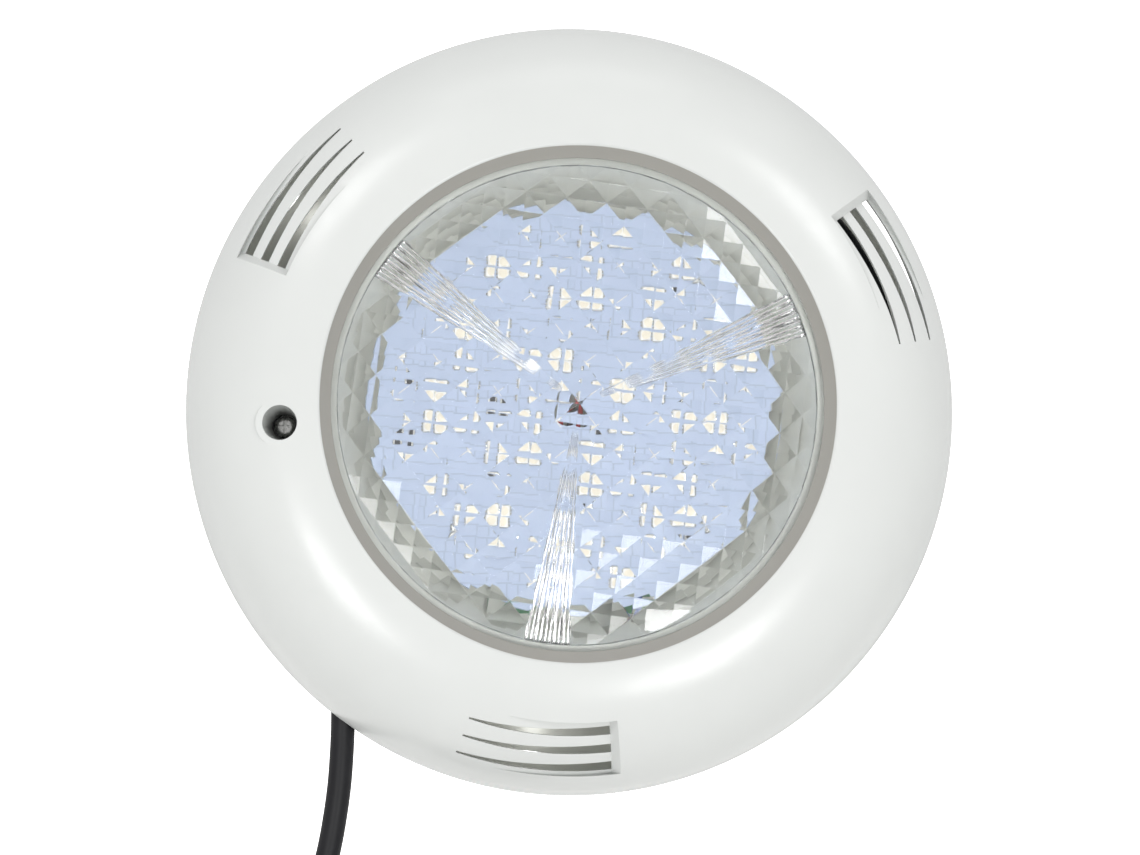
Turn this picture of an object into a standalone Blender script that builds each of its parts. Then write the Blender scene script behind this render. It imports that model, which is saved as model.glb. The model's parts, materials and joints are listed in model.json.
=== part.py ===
"""Underwater pool light for a flat pool wall. Metres, +Z up; the lamp looks along -Y from the wall y = 0.

A round face ring with three groups of vent slots carries a sealed LED lamp behind a clear lens. One
captive screw locks it to a wall bracket, and its rubber cable runs round the lamp behind the ring.
Most parts are drawn in the front frame, where X is right, Y is up and Z, called height below, is the
distance from the wall. The front frame is an empty turned so that its Z is the world's -Y.
"""

from math import atan2, cos, hypot, pi, radians, sin, sqrt

import bmesh
import bpy
from mathutils import Matrix, Vector

# Fits between pieces
GAP = 0.0003
SLIDE_FIT = 0.0006
SCREW_FIT = 0.0003
CUT_THROUGH = 0.001
SEAM = 0.0015

# Facets of turned pieces
LARGE_STEPS = 48
MEDIUM_STEPS = 18
SMALL_STEPS = 8

# Face ring
RIM_RADIUS = 0.145
RING_DEPTH = 0.054
RING_WALL = 0.0028
RIM_HEIGHT = 0.009
RIM_EDGE = 0.003
DOME_ROUNDNESS = 2.2
DOME_POINTS = 8
LIP_ROUND = 0.0012
BEVEL_WIDTH = 0.0036
BEVEL_DEPTH = 0.0042
SHOULDER_WALL = 0.0010
COLLAR_WALL = 0.0022
COLLAR_BELOW_FLANGE = 0.0002

# Vent slots, in three groups; each slot is widest at the sunken end of its pocket
VENT_GROUPS = 3
VENT_SLOTS = 3
VENT_DEEP_ANGLE = 35.5
VENT_SPAN = 24.8
VENT_EDGE_MARGIN = 0.0117
SLOT_PITCH = 0.0068
SLOT_WIDTH = 0.0032
SLOT_TIP_WIDTH = 0.0006
SLOT_STEPS = 6
POCKET_DEPTH = 0.0042
POCKET_MARGIN = 0.0018
POCKET_SLOPE_ANGLE = 1.7
POCKET_FLOOR = 0.0026
PAD_ROOF = 0.0010
PAD_MARGIN = 0.0015

# Lens
LENS_RADIUS = 0.0893
LENS_CROWN = 0.0040
LENS_THICKNESS = 0.0050
FLANGE_WIDTH = 0.0075
LENS_FLANGE_THICKNESS = 0.0032
LENS_SCREWS = 6
LENS_SCREW_RADIUS = 0.0015
LENS_HEAD_RADIUS = 0.0027
LENS_HEAD_DEPTH = 0.0016
LENS_SCREW_LENGTH = 0.0100
GASKET_THICKNESS = 0.0011

# Lamp housing
HOUSING_FLANGE_THICKNESS = 0.0034
HOUSING_WALL = 0.0030
HOUSING_BACK = 0.0030
HOUSING_TAPER = 0.0030
HOUSING_EDGE = 0.0055
SCREW_BOSS_RADIUS = 0.0040
SCREW_BOSS_DEPTH = 0.0040

# Light engine
BOARD_INSET = 0.0143
BOARD_THICKNESS = 0.0016
BOARD_HEIGHT = 0.0255
SPREADER_THICKNESS = 0.0032
SPREADER_SETBACK = 0.0015
BOARD_SCREWS = 4
BOARD_SCREW_INSET = 0.0100
BOARD_SCREW_RADIUS = 0.0013
BOARD_HEAD_RADIUS = 0.0026
BOARD_HEAD_HEIGHT = 0.0018
BOARD_SCREW_LENGTH = 0.0120
STANDOFF_RADIUS = 0.0040
LEAD_HOLE_RADIUS = 0.0050

# Driver
DRIVER_LENGTH = 0.0560
DRIVER_WIDTH = 0.0320
DRIVER_CENTRE_Y = -0.0575
DRIVER_LIFT = 0.0020
DRIVER_THICKNESS = 0.0014
DRIVER_POST_RADIUS = 0.0022
PART_HEIGHT = 0.0052
TERMINAL_SIZE = (0.0085, 0.0110)
TERMINAL_X = 0.0205

# Wall bracket
BRACKET_RADIUS = 0.1390
PLATE_THICKNESS = 0.0030
PILOT_RADIUS = 0.0300
PILOT_HEIGHT = 0.0115
SHOULDER_RADIUS = 0.0420
HOUSING_HEIGHT = 0.0085
WALL_HOLES = 4
WALL_HOLE_PITCH_RADIUS = 0.0580
WALL_HOLE_RADIUS = 0.0026
COUNTERSINK_RADIUS = 0.0050
WINDOWS = ((46.0, 121.0), (199.0, 243.0), (287.0, 361.0))
WINDOW_INNER = 0.0780
WINDOW_OUTER = 0.1160

# Lock screw, at the left of the lamp
LOCK_RADIUS = 0.1075
LOCK_ANGLE = 184.0
LOCK_MOUTH_RADIUS = 0.0063
LOCK_SEAT_RADIUS = 0.0046
LOCK_SEAT_HEIGHT = 0.0175
LOCK_BOSS_WALL = 0.0024
LOCK_SCREW_RADIUS = 0.0029
LOCK_HEAD_RADIUS = 0.0041
LOCK_HEAD_HEIGHT = 0.0040
LOCK_RECESS_WIDTH = 0.0010
LOCK_RECESS_DEPTH = 0.0020
LOCK_WASHER_THICKNESS = 0.0014
LOCK_TIP_HEIGHT = 0.0040
INSERT_RADIUS = 0.0042
INSERT_BASE = 0.0024
BRACKET_BOSS_HEIGHT = 0.0145
BRACKET_BOSS_RADIUS = 0.0068

# Clips that hold the housing flange up against the face ring
CLIP_ANGLES = (90.0, 210.0, 330.0)
CLIP_SCREW_OFFSET = 0.0095
CLIP_POST_RADIUS = 0.0048
CLIP_WIDTH = 0.0140
CLIP_THICKNESS = 0.0024
CLIP_BITE = 0.0060
CLIP_HEAD_RADIUS = 0.0032
CLIP_HEAD_HEIGHT = 0.0022
CLIP_SCREW_RADIUS = 0.0015
CLIP_SCREW_LENGTH = 0.0075

# Cable and its gland
CABLE_RADIUS = 0.0045
GLAND_ANGLE = -70.0
GLAND_OFFSET = 0.0980
GLAND_HEIGHT = 0.0200
GLAND_THREAD_RADIUS = 0.0078
GLAND_THREAD_LENGTH = 0.0150
GLAND_BOSS_RADIUS = 0.0110
GLAND_BOSS_LENGTH = 0.0380
GLAND_WEB_WIDTH = 0.0130
GLAND_HEX_RADIUS = 0.0108
GLAND_HEX_LENGTH = 0.0055
GLAND_NOSE_RADIUS = 0.0085
GLAND_NOSE_LENGTH = 0.0090
GLAND_SEAL_LENGTH = 0.0045
GLAND_NUT_RADIUS = 0.0110
GLAND_NUT_END = 0.0025
GLAND_WASHER_THICKNESS = 0.0015
PASSAGE_RADIUS = 0.0052
CORE_RADIUS = 0.0011
SLEEVE_LENGTH = 0.0260
SLEEVE_RADIUS = 0.0074
SLEEVE_TIP_RADIUS = 0.0052
NOTCH_WIDTH = 0.0115
NOTCH_CLEARANCE = 0.0008
CABLE_CLIP_ANGLES = (68.0, 112.0, 156.0)
CABLE_CLIP_WALL = 0.0018
CABLE_CLIP_WIDTH = 0.0070
CLIP_FIT = 0.0006
CABLE_SIDES = 3

# Route of the cable's centre in world coordinates, from the gland nut to the coil
CABLE_ROUTE = (
    (0.0711, -0.0200, -0.0785),
    (0.0845, -0.0196, -0.0728),
    (0.0995, -0.0182, -0.0588),
    (0.1140, -0.0160, -0.0359),
    (0.1217, -0.0145, -0.0084),
    (0.1208, -0.0140, 0.0231),
    (0.1104, -0.0138, 0.0543),
    (0.0874, -0.0136, 0.0807),
    (0.0560, -0.0134, 0.0970),
    (0.0210, -0.0132, 0.1058),
    (-0.0160, -0.0130, 0.1045),
    (-0.0510, -0.0130, 0.0890),
    (-0.0770, -0.0130, 0.0600),
    (-0.0905, -0.0130, 0.0250),
    (-0.0932, -0.0130, -0.0060),
    (-0.0918, -0.0128, -0.0400),
    (-0.0884, -0.0118, -0.0750),
    (-0.0861, -0.0104, -0.1050),
    (-0.0863, -0.0096, -0.1290),
    (-0.0886, -0.0092, -0.1520),
    (-0.0932, -0.0084, -0.1740),
    (-0.0984, -0.0075, -0.1895),
)
ROUTE_STEP = 0.0120

# Coil of the spare cable, hanging in a plane parallel to the wall
COIL_CENTRE = (-0.0640, -0.0100, -0.2420)
COIL_RADIUS = 0.0480
COIL_BUNDLE = 0.0185
COIL_STEPS = 32
TIE_ANGLES = (165.0, 300.0)
TIE_WALL = 0.0012
TIE_WIDTH = 0.0045
TAIL_ROUTE = (
    (-0.1022, -0.0142, -0.2902),
    (-0.0998, -0.0138, -0.2970),
    (-0.0980, -0.0134, -0.3040),
)
BARE_CORE_LENGTH = 0.0300
FERRULE_LENGTH = 0.0080
FERRULE_RADIUS = 0.0013
CORE_SPREAD = 0.0018

# Levels that follow from the sizes above
LENS_TOP = RING_DEPTH - LIP_ROUND / 2 - BEVEL_DEPTH - SHOULDER_WALL - GAP
LENS_UNDERSIDE = LENS_TOP - LENS_FLANGE_THICKNESS
FLANGE_TOP = LENS_UNDERSIDE - GASKET_THICKNESS - 2 * GAP
FLANGE_UNDERSIDE = FLANGE_TOP - HOUSING_FLANGE_THICKNESS
FLANGE_RADIUS = LENS_RADIUS + FLANGE_WIDTH
LENS_SCREW_PITCH_RADIUS = LENS_RADIUS + FLANGE_WIDTH / 2 + 0.0002
OPENING_RADIUS = LENS_RADIUS + BEVEL_WIDTH
DOME_INNER_RADIUS = OPENING_RADIUS + LIP_ROUND
COLLAR_RADIUS = FLANGE_RADIUS + SLIDE_FIT
HOUSING_FLOOR = HOUSING_HEIGHT + HOUSING_BACK
RECESS_HEIGHT = PILOT_HEIGHT + SLIDE_FIT
CLIP_SCREW_PITCH_RADIUS = COLLAR_RADIUS + CLIP_SCREW_OFFSET
SPREADER_TOP = BOARD_HEIGHT - GAP
SPREADER_UNDERSIDE = SPREADER_TOP - SPREADER_THICKNESS
BOARD_TOP = BOARD_HEIGHT + BOARD_THICKNESS
BOARD_RADIUS = LENS_RADIUS - BOARD_INSET
BOARD_SCREW_PITCH_RADIUS = BOARD_RADIUS - BOARD_SCREW_INSET

parts = bpy.data.collections.new("pool_light")
cutters = bpy.data.collections.new("cutters")


# ---------------------------------------------------------------- helpers


def clear_scene():
    for obj in list(bpy.data.objects):
        bpy.data.objects.remove(obj, do_unlink=True)
    for collection in (parts, cutters):
        bpy.context.scene.collection.children.link(collection)


def polar(radius, degrees, height=0.0):
    return Vector((radius * cos(radians(degrees)), radius * sin(radians(degrees)), height))


def finish(name, color, roughness, metallic=0.0, alpha=1.0):
    material = bpy.data.materials.get(name) or bpy.data.materials.new(name)
    material.use_nodes = True
    shader = material.node_tree.nodes["Principled BSDF"]
    shader.inputs["Base Color"].default_value = (*color, 1.0)
    shader.inputs["Roughness"].default_value = roughness
    shader.inputs["Metallic"].default_value = metallic
    shader.inputs["Alpha"].default_value = alpha
    return material


def white_plastic():
    return finish("white_plastic", (0.78, 0.79, 0.80), 0.28)


def inner_plastic():
    return finish("inner_plastic", (0.70, 0.70, 0.66), 0.45)


def clear_plastic():
    return finish("clear_plastic", (0.93, 0.95, 0.95), 0.05, alpha=0.35)


def black_rubber():
    return finish("black_rubber", (0.02, 0.02, 0.022), 0.55)


def clear_silicone():
    return finish("clear_silicone", (0.80, 0.82, 0.80), 0.35)


def steel():
    return finish("stainless_steel", (0.62, 0.62, 0.60), 0.30, metallic=1.0)


def brass():
    return finish("brass", (0.70, 0.55, 0.28), 0.35, metallic=1.0)


def add(name, data, collection, parent, location=(0, 0, 0)):
    obj = bpy.data.objects.new(name, data)
    collection.objects.link(obj)
    obj.parent = parent
    obj.location = location
    return obj


def empty(name, parent, location=(0, 0, 0)):
    return add(name, None, parts, parent, location)


def hide_cutter(obj):
    obj.hide_render = True
    obj.display_type = "WIRE"
    for collection in list(obj.users_collection):
        collection.objects.unlink(obj)
    cutters.objects.link(obj)
    return obj


def paint(obj, material):
    obj.data.materials.append(material)
    return obj


def turned(name, profile, parent, location=(0, 0, 0), steps=MEDIUM_STEPS):
    """Turn a profile of (radius, height) pairs about Z. It runs down its outer side, and is closed
    into a ring unless it starts and ends on the axis."""
    mesh = bpy.data.meshes.new(name)
    points = [(radius, 0.0, height) for radius, height in profile]
    edges = [(i, i + 1) for i in range(len(points) - 1)]
    if profile[0][0] > 0:
        edges.append((len(points) - 1, 0))
    mesh.from_pydata(points, edges, [])
    obj = add(name, mesh, parts, parent, location)
    screw = obj.modifiers.new("turn", "SCREW")
    screw.steps = steps
    screw.render_steps = steps
    screw.use_merge_vertices = True
    screw.merge_threshold = 0.00001
    screw.use_smooth_shade = True
    return obj


def cylinder(name, radius, low, high, parent, location=(0, 0), steps=MEDIUM_STEPS, top_radius=None):
    mesh = bpy.data.meshes.new(name)
    shape = bmesh.new()
    bmesh.ops.create_cone(
        shape,
        cap_ends=True,
        segments=steps,
        radius1=radius,
        radius2=radius if top_radius is None else top_radius,
        depth=high - low,
    )
    shape.to_mesh(mesh)
    shape.free()
    return add(name, mesh, parts, parent, (location[0], location[1], (low + high) / 2))


def box(name, size, centre, parent):
    mesh = bpy.data.meshes.new(name)
    shape = bmesh.new()
    bmesh.ops.create_cube(shape, size=1.0)
    bmesh.ops.scale(shape, vec=size, verts=shape.verts)
    shape.to_mesh(mesh)
    shape.free()
    return add(name, mesh, parts, parent, centre)


def ring_profile(inner, outer, low, high):
    return [(inner, high), (outer, high), (outer, low), (inner, low)]


def as_mesh(obj):
    """Replace a curve object by a closed mesh object of the same name and place."""
    graph = bpy.context.evaluated_depsgraph_get()
    mesh = bpy.data.meshes.new_from_object(obj.evaluated_get(graph))
    shape = bmesh.new()
    shape.from_mesh(mesh)
    bmesh.ops.remove_doubles(shape, verts=shape.verts, dist=0.000001)
    bmesh.ops.recalc_face_normals(shape, faces=shape.faces)
    shape.to_mesh(mesh)
    shape.free()
    name, parent, matrix = obj.name, obj.parent, obj.matrix_basis.copy()
    bpy.data.objects.remove(obj, do_unlink=True)
    copy = add(name, mesh, parts, parent)
    copy.matrix_basis = matrix
    return copy


def extruded(name, outline, low, high, parent):
    """A flat outline of (x, y) points, filled and extruded between two heights, as a mesh."""
    curve = bpy.data.curves.new(name, "CURVE")
    curve.dimensions = "2D"
    curve.fill_mode = "BOTH"
    curve.extrude = (high - low) / 2
    spline = curve.splines.new("POLY")
    spline.points.add(len(outline) - 1)
    for point, (x, y) in zip(spline.points, outline):
        point.co = (x, y, 0.0, 1.0)
    spline.use_cyclic_u = True
    return as_mesh(add(name, curve, parts, parent, (0, 0, (low + high) / 2)))


def loft(name, sections, parent):
    """A closed solid through sections that each list the same number of points."""
    shape = bmesh.new()
    rows = [[shape.verts.new(point) for point in section] for section in sections]
    count = len(rows[0])
    for first, second in zip(rows, rows[1:]):
        for i in range(count):
            j = (i + 1) % count
            shape.faces.new((first[i], first[j], second[j], second[i]))
    shape.faces.new(rows[0])
    shape.faces.new(rows[-1])
    bmesh.ops.recalc_face_normals(shape, faces=shape.faces)
    mesh = bpy.data.meshes.new(name)
    shape.to_mesh(mesh)
    shape.free()
    return add(name, mesh, parts, parent)


def combine(target, tool, operation):
    modifier = target.modifiers.new(tool.name, "BOOLEAN")
    modifier.operation = operation
    modifier.object = hide_cutter(tool)


def cut(target, tool):
    combine(target, tool, "DIFFERENCE")


def join(target, tool):
    combine(target, tool, "UNION")


def tube(name, points, radius, parent=None, radii=None, sides=CABLE_SIDES):
    """A round bar along points; radii, if given, scale it point by point."""
    curve = bpy.data.curves.new(name, "CURVE")
    curve.dimensions = "3D"
    curve.bevel_depth = radius
    curve.bevel_resolution = sides
    curve.use_fill_caps = True
    spline = curve.splines.new("POLY")
    spline.points.add(len(points) - 1)
    for i, point in enumerate(points):
        spline.points[i].co = (*point, 1.0)
        spline.points[i].radius = radii[i] if radii else 1.0
    return add(name, curve, parts, parent)


def smooth_path(route, step):
    """Points about a step apart on the smooth curve through the points of a route."""
    knots = [Vector(point) for point in route]
    ends = [2 * knots[0] - knots[1], *knots, 2 * knots[-1] - knots[-2]]
    fine = []
    for a, b, c, d in zip(ends, ends[1:], ends[2:], ends[3:]):
        for i in range(24):
            t = i / 24
            fine.append(
                0.5
                * (
                    2 * b
                    + (c - a) * t
                    + (2 * a - 5 * b + 4 * c - d) * t * t
                    + (3 * b - a - 3 * c + d) * t**3
                )
            )
    fine.append(knots[-1])
    return resampled(fine, step)


def resampled(fine, step):
    lengths = [(b - a).length for a, b in zip(fine, fine[1:])]
    count = max(2, round(sum(lengths) / step))
    wanted = sum(lengths) / count
    points, walked = [fine[0]], 0.0
    for point, length in zip(fine[1:], lengths):
        walked += length
        if walked >= wanted * len(points) and len(points) < count:
            points.append(point)
    return [*points, fine[-1]]


def path_from(points, start, end=None):
    """The stretch of a path between two distances along it, with exact end points."""
    kept, walked = [], 0.0
    for a, b in zip(points, points[1:]):
        length = (b - a).length
        if walked <= start < walked + length:
            kept.append(a.lerp(b, (start - walked) / length))
        if end is not None and walked < end <= walked + length:
            return [*kept, a.lerp(b, (end - walked) / length)]
        walked += length
        if walked > start + step_guard(length):
            kept.append(b)
    return kept


def step_guard(length):
    return 0.2 * length


def dome_height(radius):
    """Height of the face ring's outer surface, a superellipse from the lip to the rim."""
    share = (radius - DOME_INNER_RADIUS) / (RIM_RADIUS - DOME_INNER_RADIUS)
    share = min(max(share, 0.0), 1.0)
    return RIM_HEIGHT + (RING_DEPTH - RIM_HEIGHT) * sqrt(1 - share**DOME_ROUNDNESS)


# ---------------------------------------------------------------- face ring


def ring_section():
    span = RIM_RADIUS - DOME_INNER_RADIUS
    angles = [i / DOME_POINTS * pi / 2 for i in range(DOME_POINTS + 1)]
    outer_radii = [DOME_INNER_RADIUS + span * sin(angle) for angle in angles]
    outer = [(radius, dome_height(radius)) for radius in outer_radii]
    inner_edge = RIM_RADIUS - RING_WALL
    collar_outer = COLLAR_RADIUS + COLLAR_WALL
    inner = []
    for radius, height in reversed(outer[1:-1]):
        shrink = (radius - DOME_INNER_RADIUS) / span
        inside = (radius - RING_WALL * shrink, height - RING_WALL * (1.15 - 0.4 * shrink))
        if inside[0] > collar_outer + SEAM and inside[1] > RIM_HEIGHT:
            inner.append(inside)
    shoulder = LENS_TOP + GAP
    collar_end = FLANGE_UNDERSIDE + COLLAR_BELOW_FLANGE
    return [
        *outer,
        (RIM_RADIUS, RIM_EDGE),
        (inner_edge, RIM_EDGE),
        (inner_edge, RIM_HEIGHT),
        *inner,
        (collar_outer, dome_height(collar_outer) - 1.15 * RING_WALL),
        (collar_outer, collar_end),
        (COLLAR_RADIUS, collar_end),
        (COLLAR_RADIUS, shoulder),
        (LENS_RADIUS, shoulder),
        (LENS_RADIUS, shoulder + SHOULDER_WALL),
        (OPENING_RADIUS, RING_DEPTH - LIP_ROUND / 2),
    ]


def slot_edge(slot):
    return RIM_RADIUS - VENT_EDGE_MARGIN - slot * SLOT_PITCH


def pocket_inner():
    return slot_edge(VENT_SLOTS - 1) - SLOT_WIDTH - POCKET_MARGIN


def pocket_outer():
    return slot_edge(0) + POCKET_MARGIN


def pocket_sections(floor_drop, top_offset, margin, deep_angle):
    """Sections of the wedge under or over one vent group, from its tips to its deep end."""
    low, high = pocket_inner() - margin, pocket_outer() + margin
    middle = (low + high) / 2
    sections = []
    for i in range(SLOT_STEPS + 1):
        share = i / SLOT_STEPS
        angle = deep_angle - VENT_SPAN * (1 - share)
        sink = POCKET_DEPTH * share - (1 - share) * SEAM + floor_drop
        if floor_drop:
            sink = max(sink, PAD_ROOF + SEAM)
        floor = [polar(r, angle, dome_height(r) - sink) for r in (low, middle, high)]
        roof = [polar(r, angle, dome_height(r) + top_offset) for r in (high, middle, low)]
        sections.append(floor + roof)
    return sections


def end_slope(sections):
    """One more section past the deep end, so that the pocket's end wall leans."""
    last = sections[-1]
    slope = Matrix.Rotation(radians(POCKET_SLOPE_ANGLE), 3, "Z")
    lift = Vector((0, 0, POCKET_DEPTH + SEAM))
    turned_floor = [slope @ point + lift for point in last[:3]]
    return [*sections, turned_floor + [slope @ point + lift for point in last[3:]]]


def slot_outline(outer, deep_angle):
    angles = [deep_angle - VENT_SPAN * i / SLOT_STEPS for i in range(SLOT_STEPS + 1)]
    outside = [polar(outer, angle) for angle in angles]
    inside = []
    for i, angle in enumerate(angles):
        share = 1 - (i / SLOT_STEPS) ** 1.5
        inside.append(polar(outer - SLOT_TIP_WIDTH - (SLOT_WIDTH - SLOT_TIP_WIDTH) * share, angle))
    return [(point.x, point.y) for point in outside + inside[::-1]]


def add_vent_group(ring, group, front):
    deep_angle = VENT_DEEP_ANGLE + 360 / VENT_GROUPS * group
    under = pocket_sections(POCKET_FLOOR, -PAD_ROOF, PAD_MARGIN, deep_angle + POCKET_SLOPE_ANGLE)
    join(ring, loft(f"vent_{group}_pad", under, front))
    pocket = end_slope(pocket_sections(0.0, 0.02, 0.0, deep_angle))
    cut(ring, loft(f"vent_{group}_pocket", pocket, front))
    for slot in range(VENT_SLOTS):
        outline = slot_outline(slot_edge(slot), deep_angle)
        name = f"vent_{group}_slot_{slot}"
        cut(ring, extruded(name, outline, RIM_HEIGHT, RING_DEPTH + CUT_THROUGH, front))


def lock_place(height=0.0):
    return polar(LOCK_RADIUS, LOCK_ANGLE, height)


def add_lock_boss(ring, front):
    seat_end = LOCK_SEAT_HEIGHT - LOCK_BOSS_WALL
    top = dome_height(LOCK_RADIUS)
    place = lock_place()
    boss = cylinder(
        "lock_boss", LOCK_SEAT_RADIUS + LOCK_BOSS_WALL, seat_end, top - SEAM, front, place,
        top_radius=LOCK_MOUTH_RADIUS + LOCK_BOSS_WALL,
    )
    join(ring, boss)
    funnel = cylinder(
        "lock_funnel", LOCK_SEAT_RADIUS, LOCK_SEAT_HEIGHT, top + SEAM, front, place,
        top_radius=LOCK_MOUTH_RADIUS,
    )
    cut(ring, funnel)
    hole = LOCK_SCREW_RADIUS + SCREW_FIT
    bore = cylinder("lock_bore", hole, seat_end - CUT_THROUGH, LOCK_SEAT_HEIGHT + SEAM, front, place)
    cut(ring, bore)


def add_clip_posts(ring, front):
    for i, angle in enumerate(CLIP_ANGLES):
        place = polar(CLIP_SCREW_PITCH_RADIUS, angle)
        top = dome_height(CLIP_SCREW_PITCH_RADIUS) - SEAM
        low = FLANGE_UNDERSIDE + COLLAR_BELOW_FLANGE
        post = cylinder(f"clip_post_{i}", CLIP_POST_RADIUS, low, top, front, place, SMALL_STEPS)
        join(ring, post)
        hole = CLIP_SCREW_RADIUS + SCREW_FIT
        depth = FLANGE_UNDERSIDE + CLIP_SCREW_LENGTH
        bore = cylinder(f"clip_bore_{i}", hole, low - SEAM, depth, front, place, SMALL_STEPS)
        cut(ring, bore)


def notch_centre():
    """Where the cable crosses the rim, in the front frame."""
    crossing = min(CABLE_ROUTE, key=lambda p: abs(hypot(p[0], p[2]) - RIM_RADIUS))
    return Vector((crossing[0], crossing[2], -crossing[1]))


def add_cable_notch(ring, front):
    crossing = notch_centre()
    top = crossing.z + CABLE_RADIUS + NOTCH_CLEARANCE
    size = (NOTCH_WIDTH, 0.040, top + CUT_THROUGH)
    centre = (crossing.x, crossing.y, (top - CUT_THROUGH) / 2)
    cut(ring, box("cable_notch", size, centre, front))


def make_face_ring(front):
    ring = turned("face_ring", ring_section(), front, steps=LARGE_STEPS)
    add_lock_boss(ring, front)
    add_clip_posts(ring, front)
    for group in range(VENT_GROUPS):
        add_vent_group(ring, group, front)
    add_cable_notch(ring, front)
    paint(ring, white_plastic())


# ---------------------------------------------------------------- lens, gasket and their screws


def lens_screw_places():
    return [polar(LENS_SCREW_PITCH_RADIUS, 360 / LENS_SCREWS * i) for i in range(LENS_SCREWS)]


def make_lens(front):
    crown = [0.0, 0.35, 0.7, 1.0]
    edge = LENS_RADIUS - 2 * GAP
    top = [(edge * share, LENS_TOP + LENS_CROWN * (1 - share**2)) for share in crown]
    under_edge = LENS_RADIUS - HOUSING_WALL - GAP
    under = [
        (under_edge * share, LENS_TOP - LENS_THICKNESS + LENS_CROWN * (1 - share**2))
        for share in reversed(crown)
    ]
    profile = [
        *top,
        (FLANGE_RADIUS, LENS_TOP),
        (FLANGE_RADIUS, LENS_UNDERSIDE),
        (under_edge, LENS_UNDERSIDE),
        *under,
    ]
    lens = turned("lens", profile, front, steps=LARGE_STEPS)
    seat = LENS_TOP - LENS_HEAD_DEPTH - GAP
    for i, place in enumerate(lens_screw_places()):
        hole = LENS_SCREW_RADIUS + SCREW_FIT
        head = LENS_HEAD_RADIUS + SCREW_FIT
        low = LENS_UNDERSIDE - CUT_THROUGH
        high = LENS_TOP + CUT_THROUGH
        profile = [(0, high), (head, high), (head, seat), (hole, seat), (hole, low), (0, low)]
        cut(lens, turned(f"lens_hole_{i}", profile, front, place, SMALL_STEPS))
    paint(lens, clear_plastic())


def make_gasket(front):
    low = FLANGE_TOP + GAP
    profile = ring_profile(LENS_RADIUS - 0.0018, FLANGE_RADIUS, low, low + GASKET_THICKNESS)
    gasket = turned("lens_gasket", profile, front, steps=LARGE_STEPS)
    hole = LENS_SCREW_RADIUS + SCREW_FIT
    for i, place in enumerate(lens_screw_places()):
        cut(gasket, cylinder(f"gasket_hole_{i}", hole, low - SEAM, low + 0.004, front, place, SMALL_STEPS))
    paint(gasket, clear_silicone())


def screw_profile(head_radius, head_height, shank_radius, length):
    """Profile of a screw whose head sits on height 0 and whose shank points down."""
    tip = 0.6 * shank_radius
    return [
        (0, head_height),
        (0.8 * head_radius, head_height),
        (head_radius, 0.6 * head_height),
        (head_radius, 0),
        (shank_radius, 0),
        (shank_radius, -length + tip),
        (shank_radius - tip, -length),
        (0, -length),
    ]


def make_lens_screws(front):
    seat = LENS_TOP - LENS_HEAD_DEPTH
    profile = screw_profile(
        LENS_HEAD_RADIUS, LENS_HEAD_DEPTH - GAP, LENS_SCREW_RADIUS, LENS_SCREW_LENGTH
    )
    for i, place in enumerate(lens_screw_places()):
        place.z = seat
        paint(turned(f"lens_screw_{i + 1}", profile, front, place, SMALL_STEPS), steel())


# ---------------------------------------------------------------- lamp housing


def housing_wall_radius():
    return LENS_RADIUS - 0.0004


def housing_profile():
    outer = housing_wall_radius()
    base = outer - HOUSING_TAPER
    recess = PILOT_RADIUS + SLIDE_FIT
    return [
        (0, FLANGE_TOP),
        (FLANGE_RADIUS, FLANGE_TOP),
        (FLANGE_RADIUS, FLANGE_UNDERSIDE),
        (outer, FLANGE_UNDERSIDE),
        (base, HOUSING_HEIGHT + HOUSING_EDGE),
        (base - 0.3 * HOUSING_EDGE, HOUSING_HEIGHT + 0.3 * HOUSING_EDGE),
        (base - HOUSING_EDGE, HOUSING_HEIGHT),
        (recess, HOUSING_HEIGHT),
        (recess, RECESS_HEIGHT),
        (0, RECESS_HEIGHT),
    ]


def cavity_profile():
    mouth = housing_wall_radius() - 0.0016
    base = housing_wall_radius() - HOUSING_TAPER - HOUSING_WALL
    bump = PILOT_RADIUS + SLIDE_FIT + HOUSING_WALL
    return [
        (0, FLANGE_TOP + CUT_THROUGH),
        (mouth, FLANGE_TOP + CUT_THROUGH),
        (mouth, FLANGE_TOP - 0.001),
        (base + 0.0005, BOARD_HEIGHT),
        (base, HOUSING_FLOOR + 0.003),
        (base - 0.003, HOUSING_FLOOR),
        (bump, HOUSING_FLOOR),
        (bump, RECESS_HEIGHT + HOUSING_BACK),
        (0, RECESS_HEIGHT + HOUSING_BACK),
    ]


def board_screw_places():
    return [
        polar(BOARD_SCREW_PITCH_RADIUS, 45 + 360 / BOARD_SCREWS * i) for i in range(BOARD_SCREWS)
    ]


def driver_posts():
    reach = DRIVER_LENGTH / 2 - 1.5 * DRIVER_POST_RADIUS
    return [Vector((side * reach, DRIVER_CENTRE_Y, 0)) for side in (-1, 1)]


def add_housing_bosses(housing, front):
    for i, place in enumerate(lens_screw_places()):
        low = FLANGE_UNDERSIDE - SCREW_BOSS_DEPTH
        boss = cylinder(
            f"lens_boss_{i}", SCREW_BOSS_RADIUS, low, FLANGE_UNDERSIDE + SEAM, front, place, SMALL_STEPS
        )
        join(housing, boss)


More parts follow.
